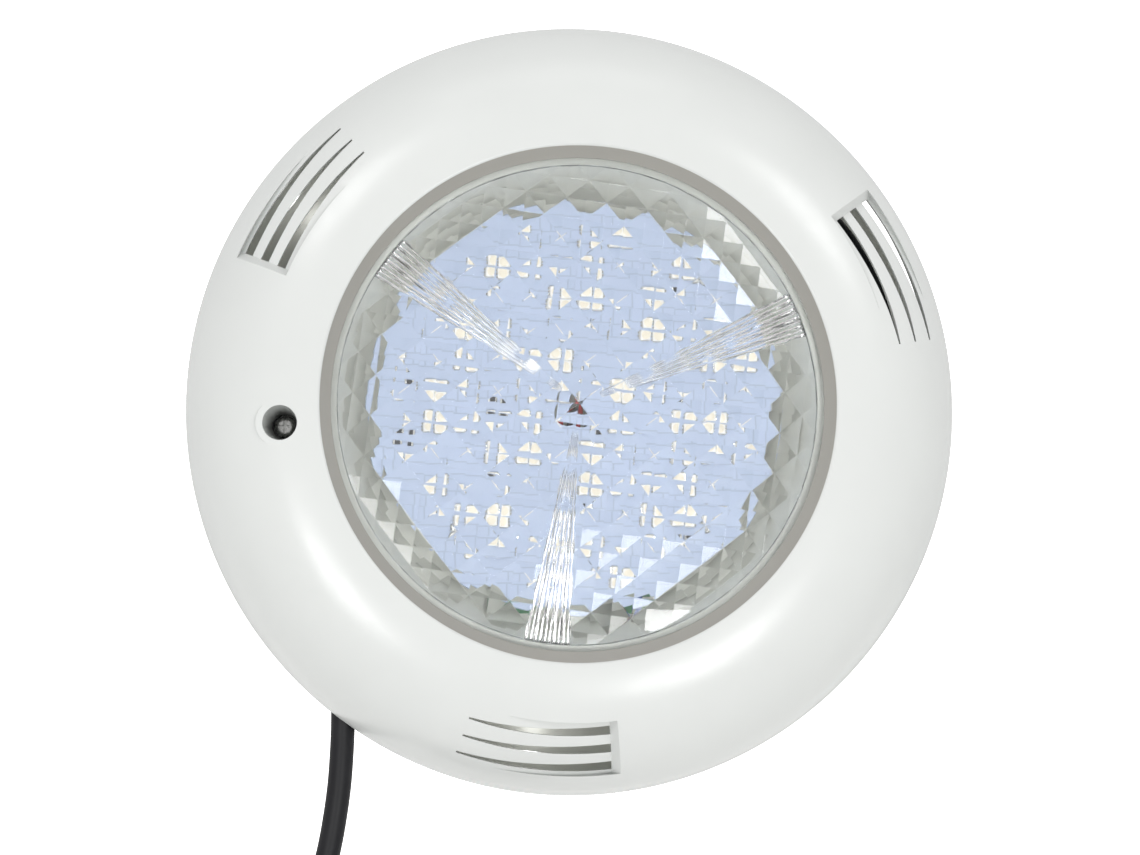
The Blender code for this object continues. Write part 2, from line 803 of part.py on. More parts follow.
def add_housing_posts(housing, front):
    for i, place in enumerate(board_screw_places()):
        low, high = HOUSING_FLOOR - SEAM, SPREADER_UNDERSIDE - GAP
        post = cylinder(f"standoff_{i}", STANDOFF_RADIUS, low, high, front, place, SMALL_STEPS)
        join(housing, post)
        hole = BOARD_SCREW_RADIUS + SCREW_FIT
        bottom = BOARD_TOP - BOARD_SCREW_LENGTH - SEAM
        cut(housing, cylinder(f"standoff_hole_{i}", hole, bottom, high + SEAM, front, place, SMALL_STEPS))
    for i, place in enumerate(driver_posts()):
        low, high = HOUSING_FLOOR - SEAM, HOUSING_FLOOR + DRIVER_LIFT - GAP
        post = cylinder(f"driver_post_{i}", DRIVER_POST_RADIUS, low, high, front, place, SMALL_STEPS)
        join(housing, post)


def add_housing_holes(housing, front):
    for i, place in enumerate(lens_screw_places()):
        hole = LENS_SCREW_RADIUS + SCREW_FIT
        low = LENS_TOP - LENS_HEAD_DEPTH - LENS_SCREW_LENGTH - 2 * GAP
        cut(housing, cylinder(f"lens_bore_{i}", hole, low, FLANGE_TOP + SEAM, front, place, SMALL_STEPS))


def add_gland_boss(housing, gland):
    """The tube that holds the gland, with a web that joins it to the housing wall."""
    start = GLAND_THREAD_LENGTH - GLAND_BOSS_LENGTH
    join(housing, cylinder("gland_boss", GLAND_BOSS_RADIUS, start, GLAND_THREAD_LENGTH, gland))
    length = GLAND_BOSS_LENGTH - 2 * SEAM
    reach = GLAND_OFFSET - housing_wall_radius() + 2 * HOUSING_WALL
    centre = (-reach / 2, 0, GLAND_THREAD_LENGTH - GLAND_BOSS_LENGTH / 2)
    join(housing, box("gland_web", (reach, GLAND_WEB_WIDTH, length), centre, gland))


def add_gland_bore(housing, gland):
    bore = GLAND_THREAD_RADIUS + SCREW_FIT
    start = -GLAND_THREAD_LENGTH
    cut(housing, cylinder("gland_bore", bore, start, GLAND_THREAD_LENGTH + CUT_THROUGH, gland))
    reach = GLAND_OFFSET - housing_wall_radius() + 2.5 * HOUSING_WALL
    passage = cylinder("gland_passage", PASSAGE_RADIUS, 0, reach, gland)
    passage.rotation_euler = (0, -pi / 2, 0)
    passage.location = (-reach / 2, 0, start + PASSAGE_RADIUS + GAP)
    cut(housing, passage)


def make_housing(front, gland):
    housing = turned("lamp_housing", housing_profile(), front, steps=LARGE_STEPS)
    add_gland_boss(housing, gland)
    add_housing_bosses(housing, front)
    cavity = turned("housing_cavity", cavity_profile(), front, steps=LARGE_STEPS)
    cut(housing, cavity)
    add_gland_bore(housing, gland)
    add_housing_posts(housing, front)
    add_housing_holes(housing, front)
    paint(housing, inner_plastic())


# ---------------------------------------------------------------- light engine and driver


def make_spreader(front):
    radius = BOARD_RADIUS - SPREADER_SETBACK
    spreader = turned(
        "heat_spreader",
        ring_profile(LEAD_HOLE_RADIUS, radius, SPREADER_UNDERSIDE, SPREADER_TOP),
        front,
        steps=LARGE_STEPS,
    )
    drill_board_holes(spreader, front)
    paint(spreader, finish("aluminium", (0.72, 0.73, 0.74), 0.35, metallic=1.0))


def drill_board_holes(plate, front):
    hole = BOARD_SCREW_RADIUS + SCREW_FIT
    low, high = SPREADER_UNDERSIDE - SEAM, BOARD_TOP + SEAM
    for i, place in enumerate(board_screw_places()):
        cut(plate, cylinder(f"{plate.name}_hole_{i}", hole, low, high, front, place, SMALL_STEPS))


def make_led_board(front):
    board = turned(
        "led_board",
        ring_profile(LEAD_HOLE_RADIUS, BOARD_RADIUS, BOARD_HEIGHT, BOARD_TOP),
        front,
        steps=LARGE_STEPS,
    )
    drill_board_holes(board, front)
    paint(board, finish("board_blue", (0.45, 0.56, 0.76), 0.4))


def make_board_screws(front):
    profile = screw_profile(BOARD_HEAD_RADIUS, BOARD_HEAD_HEIGHT, BOARD_SCREW_RADIUS, BOARD_SCREW_LENGTH)
    for i, place in enumerate(board_screw_places()):
        place.z = BOARD_TOP + GAP
        paint(turned(f"board_screw_{i + 1}", profile, front, place, SMALL_STEPS), steel())


def driver_top():
    return HOUSING_FLOOR + DRIVER_LIFT + DRIVER_THICKNESS


def make_driver_board(front):
    centre = (0, DRIVER_CENTRE_Y, driver_top() - DRIVER_THICKNESS / 2)
    board = box("driver_board", (DRIVER_LENGTH, DRIVER_WIDTH, DRIVER_THICKNESS), centre, front)
    paint(board, finish("board_green", (0.05, 0.25, 0.10), 0.4))


def make_driver_parts(front):
    base = driver_top() + GAP
    y = DRIVER_CENTRE_Y
    inductor = [
        (0, base + PART_HEIGHT),
        (0.0062, base + PART_HEIGHT),
        (0.0062, base + 0.8 * PART_HEIGHT),
        (0.0048, base + 0.7 * PART_HEIGHT),
        (0.0048, base + 0.3 * PART_HEIGHT),
        (0.0062, base + 0.2 * PART_HEIGHT),
        (0.0062, base),
        (0, base),
    ]
    paint(turned("inductor", inductor, front, (-0.018, y, 0)), finish("ferrite", (0.08, 0.08, 0.08), 0.6))
    sleeve = finish("capacitor_sleeve", (0.03, 0.05, 0.12), 0.4)
    for i, x in enumerate((-0.006, 0.0015)):
        can = cylinder(f"capacitor_{i + 1}", PART_HEIGHT / 2, -0.0055, 0.0055, front, (0, 0))
        can.rotation_euler = (pi / 2, 0, 0)
        can.location = (x, y, base + PART_HEIGHT / 2)
        paint(can, sleeve)
    rectifier = box("rectifier", (0.0065, 0.0060, 0.0026), (0.0105, y + 0.007, base + 0.0013), front)
    paint(rectifier, finish("chip_black", (0.02, 0.02, 0.02), 0.5))
    fuse = box("fuse", (0.0085, 0.0040, 0.0040), (0.0105, y - 0.006, base + 0.0020), front)
    paint(fuse, finish("fuse_block", (0.35, 0.30, 0.24), 0.5))
    place = (TERMINAL_X, y, base + PART_HEIGHT / 2)
    block = box("terminal_block", (*TERMINAL_SIZE, PART_HEIGHT), place, front)
    paint(block, finish("terminal_green", (0.05, 0.35, 0.14), 0.4))


# ---------------------------------------------------------------- wall bracket and lock screw


def sector(inner, outer, first, last, steps=8):
    angles = [first + (last - first) * i / steps for i in range(steps + 1)]
    outside = [polar(outer, angle) for angle in angles]
    inside = [polar(inner, angle) for angle in reversed(angles)]
    return [(point.x, point.y) for point in outside + inside]


def make_bracket(front):
    profile = [
        (0, PILOT_HEIGHT),
        (PILOT_RADIUS, PILOT_HEIGHT),
        (PILOT_RADIUS, HOUSING_HEIGHT - GAP),
        (SHOULDER_RADIUS, HOUSING_HEIGHT - GAP),
        (SHOULDER_RADIUS, PLATE_THICKNESS),
        (BRACKET_RADIUS, PLATE_THICKNESS),
        (BRACKET_RADIUS, 0),
        (0, 0),
    ]
    bracket = turned("wall_bracket", profile, front, steps=LARGE_STEPS)
    boss = cylinder("bracket_boss", BRACKET_BOSS_RADIUS, PLATE_THICKNESS - SEAM, BRACKET_BOSS_HEIGHT,
                    front, lock_place())
    join(bracket, boss)
    for i, (first, last) in enumerate(WINDOWS):
        outline = sector(WINDOW_INNER, WINDOW_OUTER, first, last)
        cut(bracket, extruded(f"window_{i}", outline, -CUT_THROUGH, PLATE_THICKNESS + CUT_THROUGH, front))
    sink = COUNTERSINK_RADIUS - WALL_HOLE_RADIUS
    hole = [
        (0, PLATE_THICKNESS + CUT_THROUGH),
        (COUNTERSINK_RADIUS, PLATE_THICKNESS + CUT_THROUGH),
        (COUNTERSINK_RADIUS, PLATE_THICKNESS),
        (WALL_HOLE_RADIUS, PLATE_THICKNESS - sink),
        (WALL_HOLE_RADIUS, -CUT_THROUGH),
        (0, -CUT_THROUGH),
    ]
    for i in range(WALL_HOLES):
        place = polar(WALL_HOLE_PITCH_RADIUS, 45 + 360 / WALL_HOLES * i)
        cut(bracket, turned(f"wall_hole_{i}", hole, front, place, SMALL_STEPS))
    pocket = INSERT_RADIUS + GAP
    top = BRACKET_BOSS_HEIGHT + CUT_THROUGH
    cut(bracket, cylinder("insert_pocket", pocket, INSERT_BASE, top, front, lock_place()))
    paint(bracket, inner_plastic())


def make_lock_insert(front):
    bore = LOCK_SCREW_RADIUS + SCREW_FIT
    profile = ring_profile(bore, INSERT_RADIUS, INSERT_BASE + GAP, BRACKET_BOSS_HEIGHT)
    paint(turned("lock_insert", profile, front, lock_place()), brass())


def make_lock_screw(front):
    seat = LOCK_SEAT_HEIGHT + GAP
    washer = ring_profile(
        LOCK_SCREW_RADIUS + SCREW_FIT, LOCK_HEAD_RADIUS, seat, seat + LOCK_WASHER_THICKNESS
    )
    paint(turned("lock_washer", washer, front, lock_place()), black_rubber())
    under_head = seat + LOCK_WASHER_THICKNESS + GAP
    profile = screw_profile(
        LOCK_HEAD_RADIUS, LOCK_HEAD_HEIGHT, LOCK_SCREW_RADIUS, under_head - LOCK_TIP_HEIGHT
    )
    screw = turned("lock_screw", profile, front, lock_place(under_head))
    for i, size in enumerate(((1.2, 0.24), (0.24, 1.2))):
        width = size[0] * LOCK_HEAD_RADIUS, size[1] * LOCK_HEAD_RADIUS
        top = under_head + LOCK_HEAD_HEIGHT
        centre = lock_place(top)
        cut(screw, box(f"recess_{i}", (*width, 2 * LOCK_RECESS_DEPTH), centre, front))
    paint(screw, steel())


# ---------------------------------------------------------------- clips


def make_retaining_clips(front):
    top = FLANGE_UNDERSIDE - GAP
    inner = FLANGE_RADIUS - CLIP_BITE
    outer = CLIP_SCREW_PITCH_RADIUS + CLIP_POST_RADIUS
    hole = CLIP_SCREW_RADIUS + SCREW_FIT
    profile = screw_profile(
        CLIP_HEAD_RADIUS, CLIP_HEAD_HEIGHT, CLIP_SCREW_RADIUS, CLIP_THICKNESS + CLIP_SCREW_LENGTH
    )
    for i, angle in enumerate(CLIP_ANGLES):
        centre = polar((inner + outer) / 2, angle, top - CLIP_THICKNESS / 2)
        clip = box(f"retaining_clip_{i + 1}", (outer - inner, CLIP_WIDTH, CLIP_THICKNESS), centre, front)
        clip.rotation_euler = (0, 0, radians(angle))
        place = polar(CLIP_SCREW_PITCH_RADIUS, angle)
        drill = cylinder(
            f"clip_hole_{i}", hole, top - CLIP_THICKNESS - SEAM, top + SEAM, front, place, SMALL_STEPS
        )
        cut(clip, drill)
        paint(clip, inner_plastic())
        place.z = top - CLIP_THICKNESS - GAP
        screw = turned(f"clip_screw_{i + 1}", profile, front, place, SMALL_STEPS)
        screw.rotation_euler = (pi, 0, 0)
        paint(screw, steel())


# ---------------------------------------------------------------- gland, cable and coil


def make_gland(gland):
    bore = CABLE_RADIUS + GAP
    hex_start = GLAND_THREAD_LENGTH + GLAND_WASHER_THICKNESS + 2 * GAP
    hex_end = hex_start + GLAND_HEX_LENGTH
    nose_end = hex_end + GLAND_NOSE_LENGTH
    washer = ring_profile(
        GLAND_THREAD_RADIUS + GAP, GLAND_BOSS_RADIUS - 0.0005,
        GLAND_THREAD_LENGTH + GAP, GLAND_THREAD_LENGTH + GAP + GLAND_WASHER_THICKNESS,
    )
    paint(turned("gland_washer", washer, gland), black_rubber())
    body_profile = [
        (bore, nose_end),
        (GLAND_NOSE_RADIUS, nose_end),
        (GLAND_NOSE_RADIUS, hex_end - SEAM),
        (GLAND_THREAD_RADIUS, hex_end - SEAM),
        (GLAND_THREAD_RADIUS, 0),
        (bore, 0),
    ]
    body = turned("gland_body", body_profile, gland)
    inside = (bore + GLAND_THREAD_RADIUS) / 2
    hexagon = ring_profile(inside, GLAND_HEX_RADIUS, hex_start, hex_end)
    join(body, turned("gland_hex", hexagon, gland, steps=6))
    black = finish("gland_black", (0.03, 0.03, 0.03), 0.4)
    paint(body, black)
    seal_start = nose_end + GAP
    seal_end = seal_start + GLAND_SEAL_LENGTH
    seal = ring_profile(bore, GLAND_NOSE_RADIUS, seal_start, seal_end)
    paint(turned("gland_seal", seal, gland), black_rubber())
    nut_bore = GLAND_NOSE_RADIUS + GAP
    nut_end = seal_end + GAP + GLAND_NUT_END
    nut_profile = [
        (bore, nut_end),
        (GLAND_NUT_RADIUS - 0.0025, nut_end),
        (GLAND_NUT_RADIUS, nut_end - 0.0040),
        (GLAND_NUT_RADIUS, hex_end + GAP),
        (nut_bore, hex_end + GAP),
        (nut_bore, seal_end + GAP),
        (bore, seal_end + GAP),
    ]
    paint(turned("gland_nut", nut_profile, gland, steps=MEDIUM_STEPS), black)
    entry = cylinder("cable_entry", CABLE_RADIUS, -0.0040, nut_end, gland)
    paint(entry, black_rubber())
    return nut_end


def route_points():
    return smooth_path(CABLE_ROUTE, ROUTE_STEP / 4)


def make_cable():
    fine = route_points()
    sleeve_points = resampled(path_from(fine, 0.0, SLEEVE_LENGTH), SLEEVE_LENGTH / 6)
    count = len(sleeve_points) - 1
    slope = SLEEVE_TIP_RADIUS / SLEEVE_RADIUS - 1
    radii = [1 + slope * i / count for i in range(count + 1)]
    paint(tube("cable_sleeve", sleeve_points, SLEEVE_RADIUS, radii=radii), black_rubber())
    start = SLEEVE_LENGTH + 1.5 * GAP
    first = path_from(fine, start, start + SEAM)[0]
    cable_points = [first, *resampled(path_from(fine, start + SEAM), ROUTE_STEP)]
    paint(tube("cable", cable_points, CABLE_RADIUS), black_rubber())


def make_coil():
    half = COIL_BUNDLE / 2
    chamfer = 0.3 * half
    profile = [
        (COIL_RADIUS + half - chamfer, half),
        (COIL_RADIUS + half, half - chamfer),
        (COIL_RADIUS + half, -half + chamfer),
        (COIL_RADIUS + half - chamfer, -half),
        (COIL_RADIUS - half + chamfer, -half),
        (COIL_RADIUS - half, -half + chamfer),
        (COIL_RADIUS - half, half - chamfer),
        (COIL_RADIUS - half + chamfer, half),
    ]
    frame = empty("coil_frame", None, COIL_CENTRE)
    frame.rotation_euler = (pi / 2, 0, 0)
    paint(turned("cable_coil", profile, frame, steps=COIL_STEPS), black_rubber())
    inner = half + GAP
    outer = inner + TIE_WALL
    for i, angle in enumerate(TIE_ANGLES):
        tie = box(
            f"coil_tie_{i + 1}", (2 * outer, TIE_WIDTH, 2 * outer), polar(COIL_RADIUS, angle), frame
        )
        tie.rotation_euler = (0, 0, radians(angle))
        hole = box(f"tie_hole_{i}", (2 * inner, 2 * TIE_WIDTH, 2 * inner), polar(COIL_RADIUS, angle), frame)
        hole.rotation_euler = (0, 0, radians(angle))
        cut(tie, hole)
        paint(tie, finish("tie_black", (0.03, 0.03, 0.03), 0.45))


def make_tail():
    """The last of the cable, out of the coil, with its two cores stripped and ferruled."""
    tail = smooth_path(TAIL_ROUTE, 0.006)
    paint(tube("cable_tail", tail, CABLE_RADIUS), black_rubber())
    along = (tail[-1] - tail[-2]).normalized()
    side = along.cross(Vector((0, 1, 0))).normalized()
    colors = {"brown": (0.16, 0.06, 0.03), "blue": (0.03, 0.12, 0.45)}
    for sign, (name, color) in zip((-1, 1), colors.items()):
        start = tail[-1] + along * GAP + side * sign * CORE_SPREAD
        end = start + along * BARE_CORE_LENGTH + side * sign * 2 * CORE_SPREAD
        middle = start.lerp(end, 0.5) - side * sign * 0.4 * CORE_SPREAD
        core = smooth_path((start, middle, end), 0.006)
        paint(tube(f"core_{name}", core, CORE_RADIUS, sides=2), finish(f"core_{name}", color, 0.45))
        tip = (core[-1] - core[-2]).normalized()
        ferrule = [end + tip * GAP, end + tip * (GAP + FERRULE_LENGTH)]
        paint(tube(f"ferrule_{name}", ferrule, FERRULE_RADIUS, sides=2), steel())


def make_cable_clips(front):
    """Saddles that stand out from the housing wall and hold the cable behind the face ring."""
    path = [Vector((p.x, p.z, -p.y)) for p in route_points()]
    for i, angle in enumerate(CABLE_CLIP_ANGLES):
        ray = polar(1.0, angle)
        nearest = max(range(len(path)), key=lambda n: path[n].xy.normalized().dot(ray.xy))
        centre = path[nearest]
        along = path[nearest + 1] - path[nearest - 1]
        turn = atan2(along.x, -along.y)
        outer = CABLE_RADIUS + CLIP_FIT + CABLE_CLIP_WALL
        half = CABLE_CLIP_WIDTH / 2
        clip = cylinder(f"cable_clip_{i + 1}", outer, -half, half, front)
        wall = housing_wall_radius() + GAP
        stem_length = centre.xy.length - wall - CABLE_RADIUS
        stem_centre = ray * (wall + stem_length / 2) + Vector((0, 0, centre.z))
        stem_size = (stem_length, CABLE_CLIP_WIDTH, 2 * CABLE_CLIP_WALL)
        stem = box(f"clip_stem_{i}", stem_size, stem_centre, front)
        stem.rotation_euler = (0, 0, radians(angle))
        join(clip, stem)
        bore = cylinder(f"saddle_bore_{i}", CABLE_RADIUS + CLIP_FIT, -2 * half, 2 * half, front)
        cut(clip, bore)
        for piece in (clip, bore):
            piece.rotation_euler = (pi / 2, 0, turn)
            piece.location = centre
        mouth_centre = centre - Vector((0, 0, CABLE_RADIUS + outer / 2))
        mouth_size = (1.2 * CABLE_RADIUS, 4 * half, outer)
        mouth = box(f"clip_mouth_{i}", mouth_size, mouth_centre, front)
        mouth.rotation_euler = (0, 0, turn)
        cut(clip, mouth)
        paint(clip, inner_plastic())


def make_supply_cores(front, gland):
    """The cable's two cores, out of the gland, through the housing wall and into the terminal block."""
    base = driver_top() + GAP
    entry = Vector((TERMINAL_X, DRIVER_CENTRE_Y - TERMINAL_SIZE[1] / 2, base + PART_HEIGHT / 2))
    colors = {"live": (0.16, 0.06, 0.03), "neutral": (0.03, 0.12, 0.45)}
    for side, (name, color) in zip((1, -1), colors.items()):
        apart = side * 1.6 * CORE_RADIUS
        inside_gland = [(0, -apart, -0.0044), (-0.0005, -apart, -0.0070), (-0.0045, -apart, -0.0094)]
        points = [gland.matrix_basis @ Vector(point) for point in inside_gland]
        points.append(gland.matrix_basis @ Vector((-0.0130, 0.0006 - 0.9 * apart, -0.0096)))
        points.append(entry + Vector((-0.0015 - 0.5 * apart, -0.0135, 0.0012 + 0.75 * apart)))
        points.append(entry + Vector((-0.9 * apart, -0.0060, 0.0004 + 0.3 * apart)))
        points.append(entry + Vector((-apart, -GAP, 0)))
        core = tube(f"supply_{name}", smooth_path(points, 0.004), CORE_RADIUS, front, sides=2)
        paint(core, finish(f"core_{name}", color, 0.45))


def make_led_leads(front):
    """The pair from the driver up through the spreader to the face of the LED board."""
    top = driver_top() + GAP
    for side, name, color in ((-1, "red", (0.5, 0.03, 0.03)), (1, "black", (0.02, 0.02, 0.02))):
        x = side * 1.6 * CORE_RADIUS
        points = [
            Vector((x - 0.006, DRIVER_CENTRE_Y + 0.0130, top + 2 * CORE_RADIUS)),
            Vector((x - 0.004, DRIVER_CENTRE_Y + 0.0250, top + 3 * CORE_RADIUS)),
            Vector((x, -0.0080, SPREADER_UNDERSIDE - 2 * CORE_RADIUS)),
            Vector((x, 0.0000, SPREADER_UNDERSIDE + CORE_RADIUS)),
            Vector((x, 0.0010, BOARD_TOP + CORE_RADIUS)),
        ]
        lead = tube(f"led_lead_{name}", smooth_path(points, 0.005), CORE_RADIUS, front, sides=2)
        paint(lead, finish(f"lead_{name}", color, 0.45))


# ---------------------------------------------------------------- assembly


def gland_frame(front):
    """An empty whose Z runs out along the gland and whose X points away from the lamp's axis."""
    away = polar(1.0, GLAND_ANGLE)
    along = polar(1.0, GLAND_ANGLE + 90)
    frame = empty("gland_frame", front, polar(GLAND_OFFSET, GLAND_ANGLE, GLAND_HEIGHT))
    axes = Matrix((away, along.cross(away), along)).transposed()
    frame.rotation_euler = axes.to_euler()
    return frame


def main():
    clear_scene()
    front = empty("front_frame", None)
    front.rotation_euler = (pi / 2, 0, 0)
    gland = gland_frame(front)
    bpy.context.view_layer.update()
    make_bracket(front)
    make_lock_insert(front)
    make_face_ring(front)
    make_lens(front)
    make_gasket(front)
    make_lens_screws(front)
    make_housing(front, gland)
    make_retaining_clips(front)
    make_spreader(front)
    make_led_board(front)
    make_board_screws(front)
    make_driver_board(front)
    make_driver_parts(front)
    make_supply_cores(front, gland)
    make_led_leads(front)
    make_gland(gland)
    make_cable_clips(front)
    make_cable()
    make_coil()
    make_tail()
    make_lock_screw(front)


main()
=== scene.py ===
"""Looks of the underwater pool light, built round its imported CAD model.

Most pieces are drawn in the front frame, in metres: X is right, Y is up and Z is the distance from the
wall. FRONT turns that frame into the world's, where the lamp looks along -Y.
"""

import json
from math import atan2, ceil, cos, hypot, pi, radians, sin, sqrt, tan

import bmesh
import bpy
from mathutils import Matrix, Vector


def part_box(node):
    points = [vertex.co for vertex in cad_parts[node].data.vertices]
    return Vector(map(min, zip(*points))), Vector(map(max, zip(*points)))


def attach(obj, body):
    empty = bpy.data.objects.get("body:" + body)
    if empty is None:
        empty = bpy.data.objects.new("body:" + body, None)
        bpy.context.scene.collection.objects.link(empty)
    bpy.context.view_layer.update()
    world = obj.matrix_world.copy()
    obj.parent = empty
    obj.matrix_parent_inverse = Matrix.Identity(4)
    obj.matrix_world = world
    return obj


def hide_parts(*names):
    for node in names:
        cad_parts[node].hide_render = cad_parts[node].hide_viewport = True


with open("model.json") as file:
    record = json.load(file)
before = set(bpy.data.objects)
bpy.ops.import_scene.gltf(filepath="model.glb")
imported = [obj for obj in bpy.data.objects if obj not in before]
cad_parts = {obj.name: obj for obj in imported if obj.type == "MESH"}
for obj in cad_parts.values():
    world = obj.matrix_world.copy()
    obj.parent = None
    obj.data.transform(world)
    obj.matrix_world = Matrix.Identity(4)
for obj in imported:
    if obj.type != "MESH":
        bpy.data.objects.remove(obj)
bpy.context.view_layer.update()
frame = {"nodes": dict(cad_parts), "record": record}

FRONT = Matrix.Rotation(pi / 2, 4, "X")
GAP = 0.0003
SEAM = 0.0015

# Facets of turned pieces
LARGE_STEPS = 240
MEDIUM_STEPS = 72
SMALL_STEPS = 32

# Face ring
RIM_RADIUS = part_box("face_ring")[1].x
RING_DEPTH = -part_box("face_ring")[0].y
RING_WALL = 0.0028
RIM_HEIGHT = 0.009
RIM_EDGE = 0.003
DOME_ROUNDNESS = 2.2
DOME_POINTS = 40
LIP_ROUND = 0.0012
BEVEL_WIDTH = 0.0036
BEVEL_DEPTH = 0.0042
SHOULDER_WALL = 0.0010
COLLAR_WALL = 0.0022
COLLAR_BELOW_FLANGE = 0.0002

# Vent slots
VENT_GROUPS = 3
VENT_SLOTS = 3
VENT_DEEP_ANGLE = 35.5
VENT_SPAN = 24.8
VENT_EDGE_MARGIN = 0.0117
SLOT_PITCH = 0.0068
SLOT_WIDTH = 0.0032
SLOT_TIP_WIDTH = 0.0006
SLOT_STEPS = 24
POCKET_DEPTH = 0.0042
POCKET_MARGIN = 0.0018
POCKET_SLOPE_ANGLE = 1.7
POCKET_FLOOR = 0.0026
PAD_ROOF = 0.0010
PAD_MARGIN = 0.0015
POCKET_ARC_POINTS = 9

# Lens
LENS_RADIUS = 0.0893
LENS_CROWN = 0.0040
LENS_THICKNESS = 0.0050
FLANGE_WIDTH = 0.0075
LENS_FLANGE_THICKNESS = 0.0032
LENS_SCREWS = 6
LENS_SCREW_RADIUS = 0.0015
LENS_HEAD_RADIUS = 0.0027
LENS_HEAD_DEPTH = 0.0016
LENS_SCREW_LENGTH = 0.0100
GASKET_THICKNESS = 0.0011
GASKET_CLEARANCE = 0.0023
PRISM_SIDE = 0.01045
PRISM_HEIGHT = 0.0016
PRISM_TURN = 37.0
RIB_ANGLES = (22.4, 142.4, 262.4)
RIB_START = 0.0085
RIB_HALF_ANGLE = 5.6
RIB_FLUTES = 5
RIB_HEIGHT = 0.0021
FLUTE_DEPTH = 0.0016

# Lamp housing
HOUSING_FLANGE_THICKNESS = 0.0034
HOUSING_WALL = 0.0030
HOUSING_BACK = 0.0030
HOUSING_TAPER = 0.0030
HOUSING_EDGE = 0.0055
HOUSING_HEIGHT = 0.0085
SCREW_BOSS_RADIUS = 0.0040
SCREW_BOSS_DEPTH = 0.0040

# Light engine
BOARD_RADIUS = 0.0750
BOARD_THICKNESS = 0.0016
BOARD_HEIGHT = 0.0255
SPREADER_THICKNESS = 0.0032
BOARD_SCREW_PITCH_RADIUS = 0.0650
BOARD_SCREW_RADIUS = 0.0013
BOARD_HEAD_RADIUS = 0.0026
BOARD_HEAD_HEIGHT = 0.0018
BOARD_SCREW_LENGTH = 0.0120
STANDOFF_RADIUS = 0.0040
LEAD_HOLE_RADIUS = 0.0050
LED_PITCH = 0.0115
LED_SIZE = 0.0042
LED_HEIGHT = 0.0016
LED_FIELD_RADIUS = 0.0710

# Wall bracket
BRACKET_RADIUS = 0.1390
PLATE_THICKNESS = 0.0030
PILOT_RADIUS = 0.0300
PILOT_HEIGHT = 0.0115
SHOULDER_RADIUS = 0.0420
WALL_HOLES = 4
WALL_HOLE_PITCH_RADIUS = 0.0580
WALL_HOLE_RADIUS = 0.0026
COUNTERSINK_RADIUS = 0.0050
WINDOWS = ((46.0, 121.0), (199.0, 243.0), (287.0, 361.0))
WINDOW_INNER = 0.0780
WINDOW_OUTER = 0.1160

# Lock screw
LOCK_RADIUS = 0.1075
LOCK_ANGLE = 184.0
LOCK_MOUTH_RADIUS = 0.0063
LOCK_SEAT_RADIUS = 0.0046
LOCK_SEAT_HEIGHT = 0.0175
LOCK_BOSS_WALL = 0.0024
LOCK_SCREW_RADIUS = 0.0029
LOCK_HEAD_RADIUS = 0.0041
LOCK_HEAD_HEIGHT = 0.0040
LOCK_WASHER_THICKNESS = 0.0014
LOCK_TIP_HEIGHT = 0.0040
INSERT_RADIUS = 0.0042
INSERT_BASE = 0.0024
BRACKET_BOSS_HEIGHT = 0.0145
BRACKET_BOSS_RADIUS = 0.0068

# Retaining clips
CLIP_ANGLES = (90.0, 210.0, 330.0)
CLIP_SCREW_OFFSET = 0.0095
CLIP_POST_RADIUS = 0.0048
CLIP_WIDTH = 0.0140
CLIP_THICKNESS = 0.0024
CLIP_BITE = 0.0060
CLIP_HEAD_RADIUS = 0.0032
CLIP_HEAD_HEIGHT = 0.0022
CLIP_SCREW_RADIUS = 0.0015
CLIP_SCREW_LENGTH = 0.0075

# Cable and its gland
CABLE_RADIUS = 0.0045
GLAND_ANGLE = -70.0
GLAND_OFFSET = 0.0980
GLAND_HEIGHT = 0.0200
GLAND_THREAD_RADIUS = 0.0078
GLAND_THREAD_LENGTH = 0.0150
GLAND_BOSS_RADIUS = 0.0110
GLAND_BOSS_LENGTH = 0.0380
GLAND_WEB_WIDTH = 0.0130
GLAND_HEX_RADIUS = 0.0108
GLAND_HEX_LENGTH = 0.0055
GLAND_NOSE_RADIUS = 0.0085
GLAND_NOSE_LENGTH = 0.0090
GLAND_SEAL_LENGTH = 0.0045
GLAND_NUT_RADIUS = 0.0110
GLAND_NUT_END = 0.0025
GLAND_WASHER_THICKNESS = 0.0015
NUT_GROOVES = 24
PASSAGE_RADIUS = 0.0052
SLEEVE_LENGTH = 0.0260
SLEEVE_RADIUS = 0.0074
SLEEVE_TIP_RADIUS = 0.0052
NOTCH_WIDTH = 0.0115
NOTCH_CLEARANCE = 0.0008
CABLE_CLIP_ANGLES = (68.0, 112.0, 156.0)
CABLE_CLIP_WALL = 0.0018
CABLE_CLIP_WIDTH = 0.0070
CLIP_FIT = 0.0006

# Route of the cable's centre in world coordinates, from the gland nut to the coil
CABLE_ROUTE = (
    (0.0711, -0.0200, -0.0785),
    (0.0845, -0.0196, -0.0728),
    (0.0995, -0.0182, -0.0588),
    (0.1140, -0.0160, -0.0359),
    (0.1217, -0.0145, -0.0084),
    (0.1208, -0.0140, 0.0231),
    (0.1104, -0.0138, 0.0543),
    (0.0874, -0.0136, 0.0807),
    (0.0560, -0.0134, 0.0970),
    (0.0210, -0.0132, 0.1058),
    (-0.0160, -0.0130, 0.1045),
    (-0.0510, -0.0130, 0.0890),
    (-0.0770, -0.0130, 0.0600),
    (-0.0905, -0.0130, 0.0250),
    (-0.0932, -0.0130, -0.0060),
    (-0.0918, -0.0128, -0.0400),
    (-0.0884, -0.0118, -0.0750),
    (-0.0861, -0.0104, -0.1050),
    (-0.0863, -0.0096, -0.1290),
    (-0.0886, -0.0092, -0.1520),
    (-0.0932, -0.0084, -0.1740),
    (-0.0984, -0.0075, -0.1895),
)

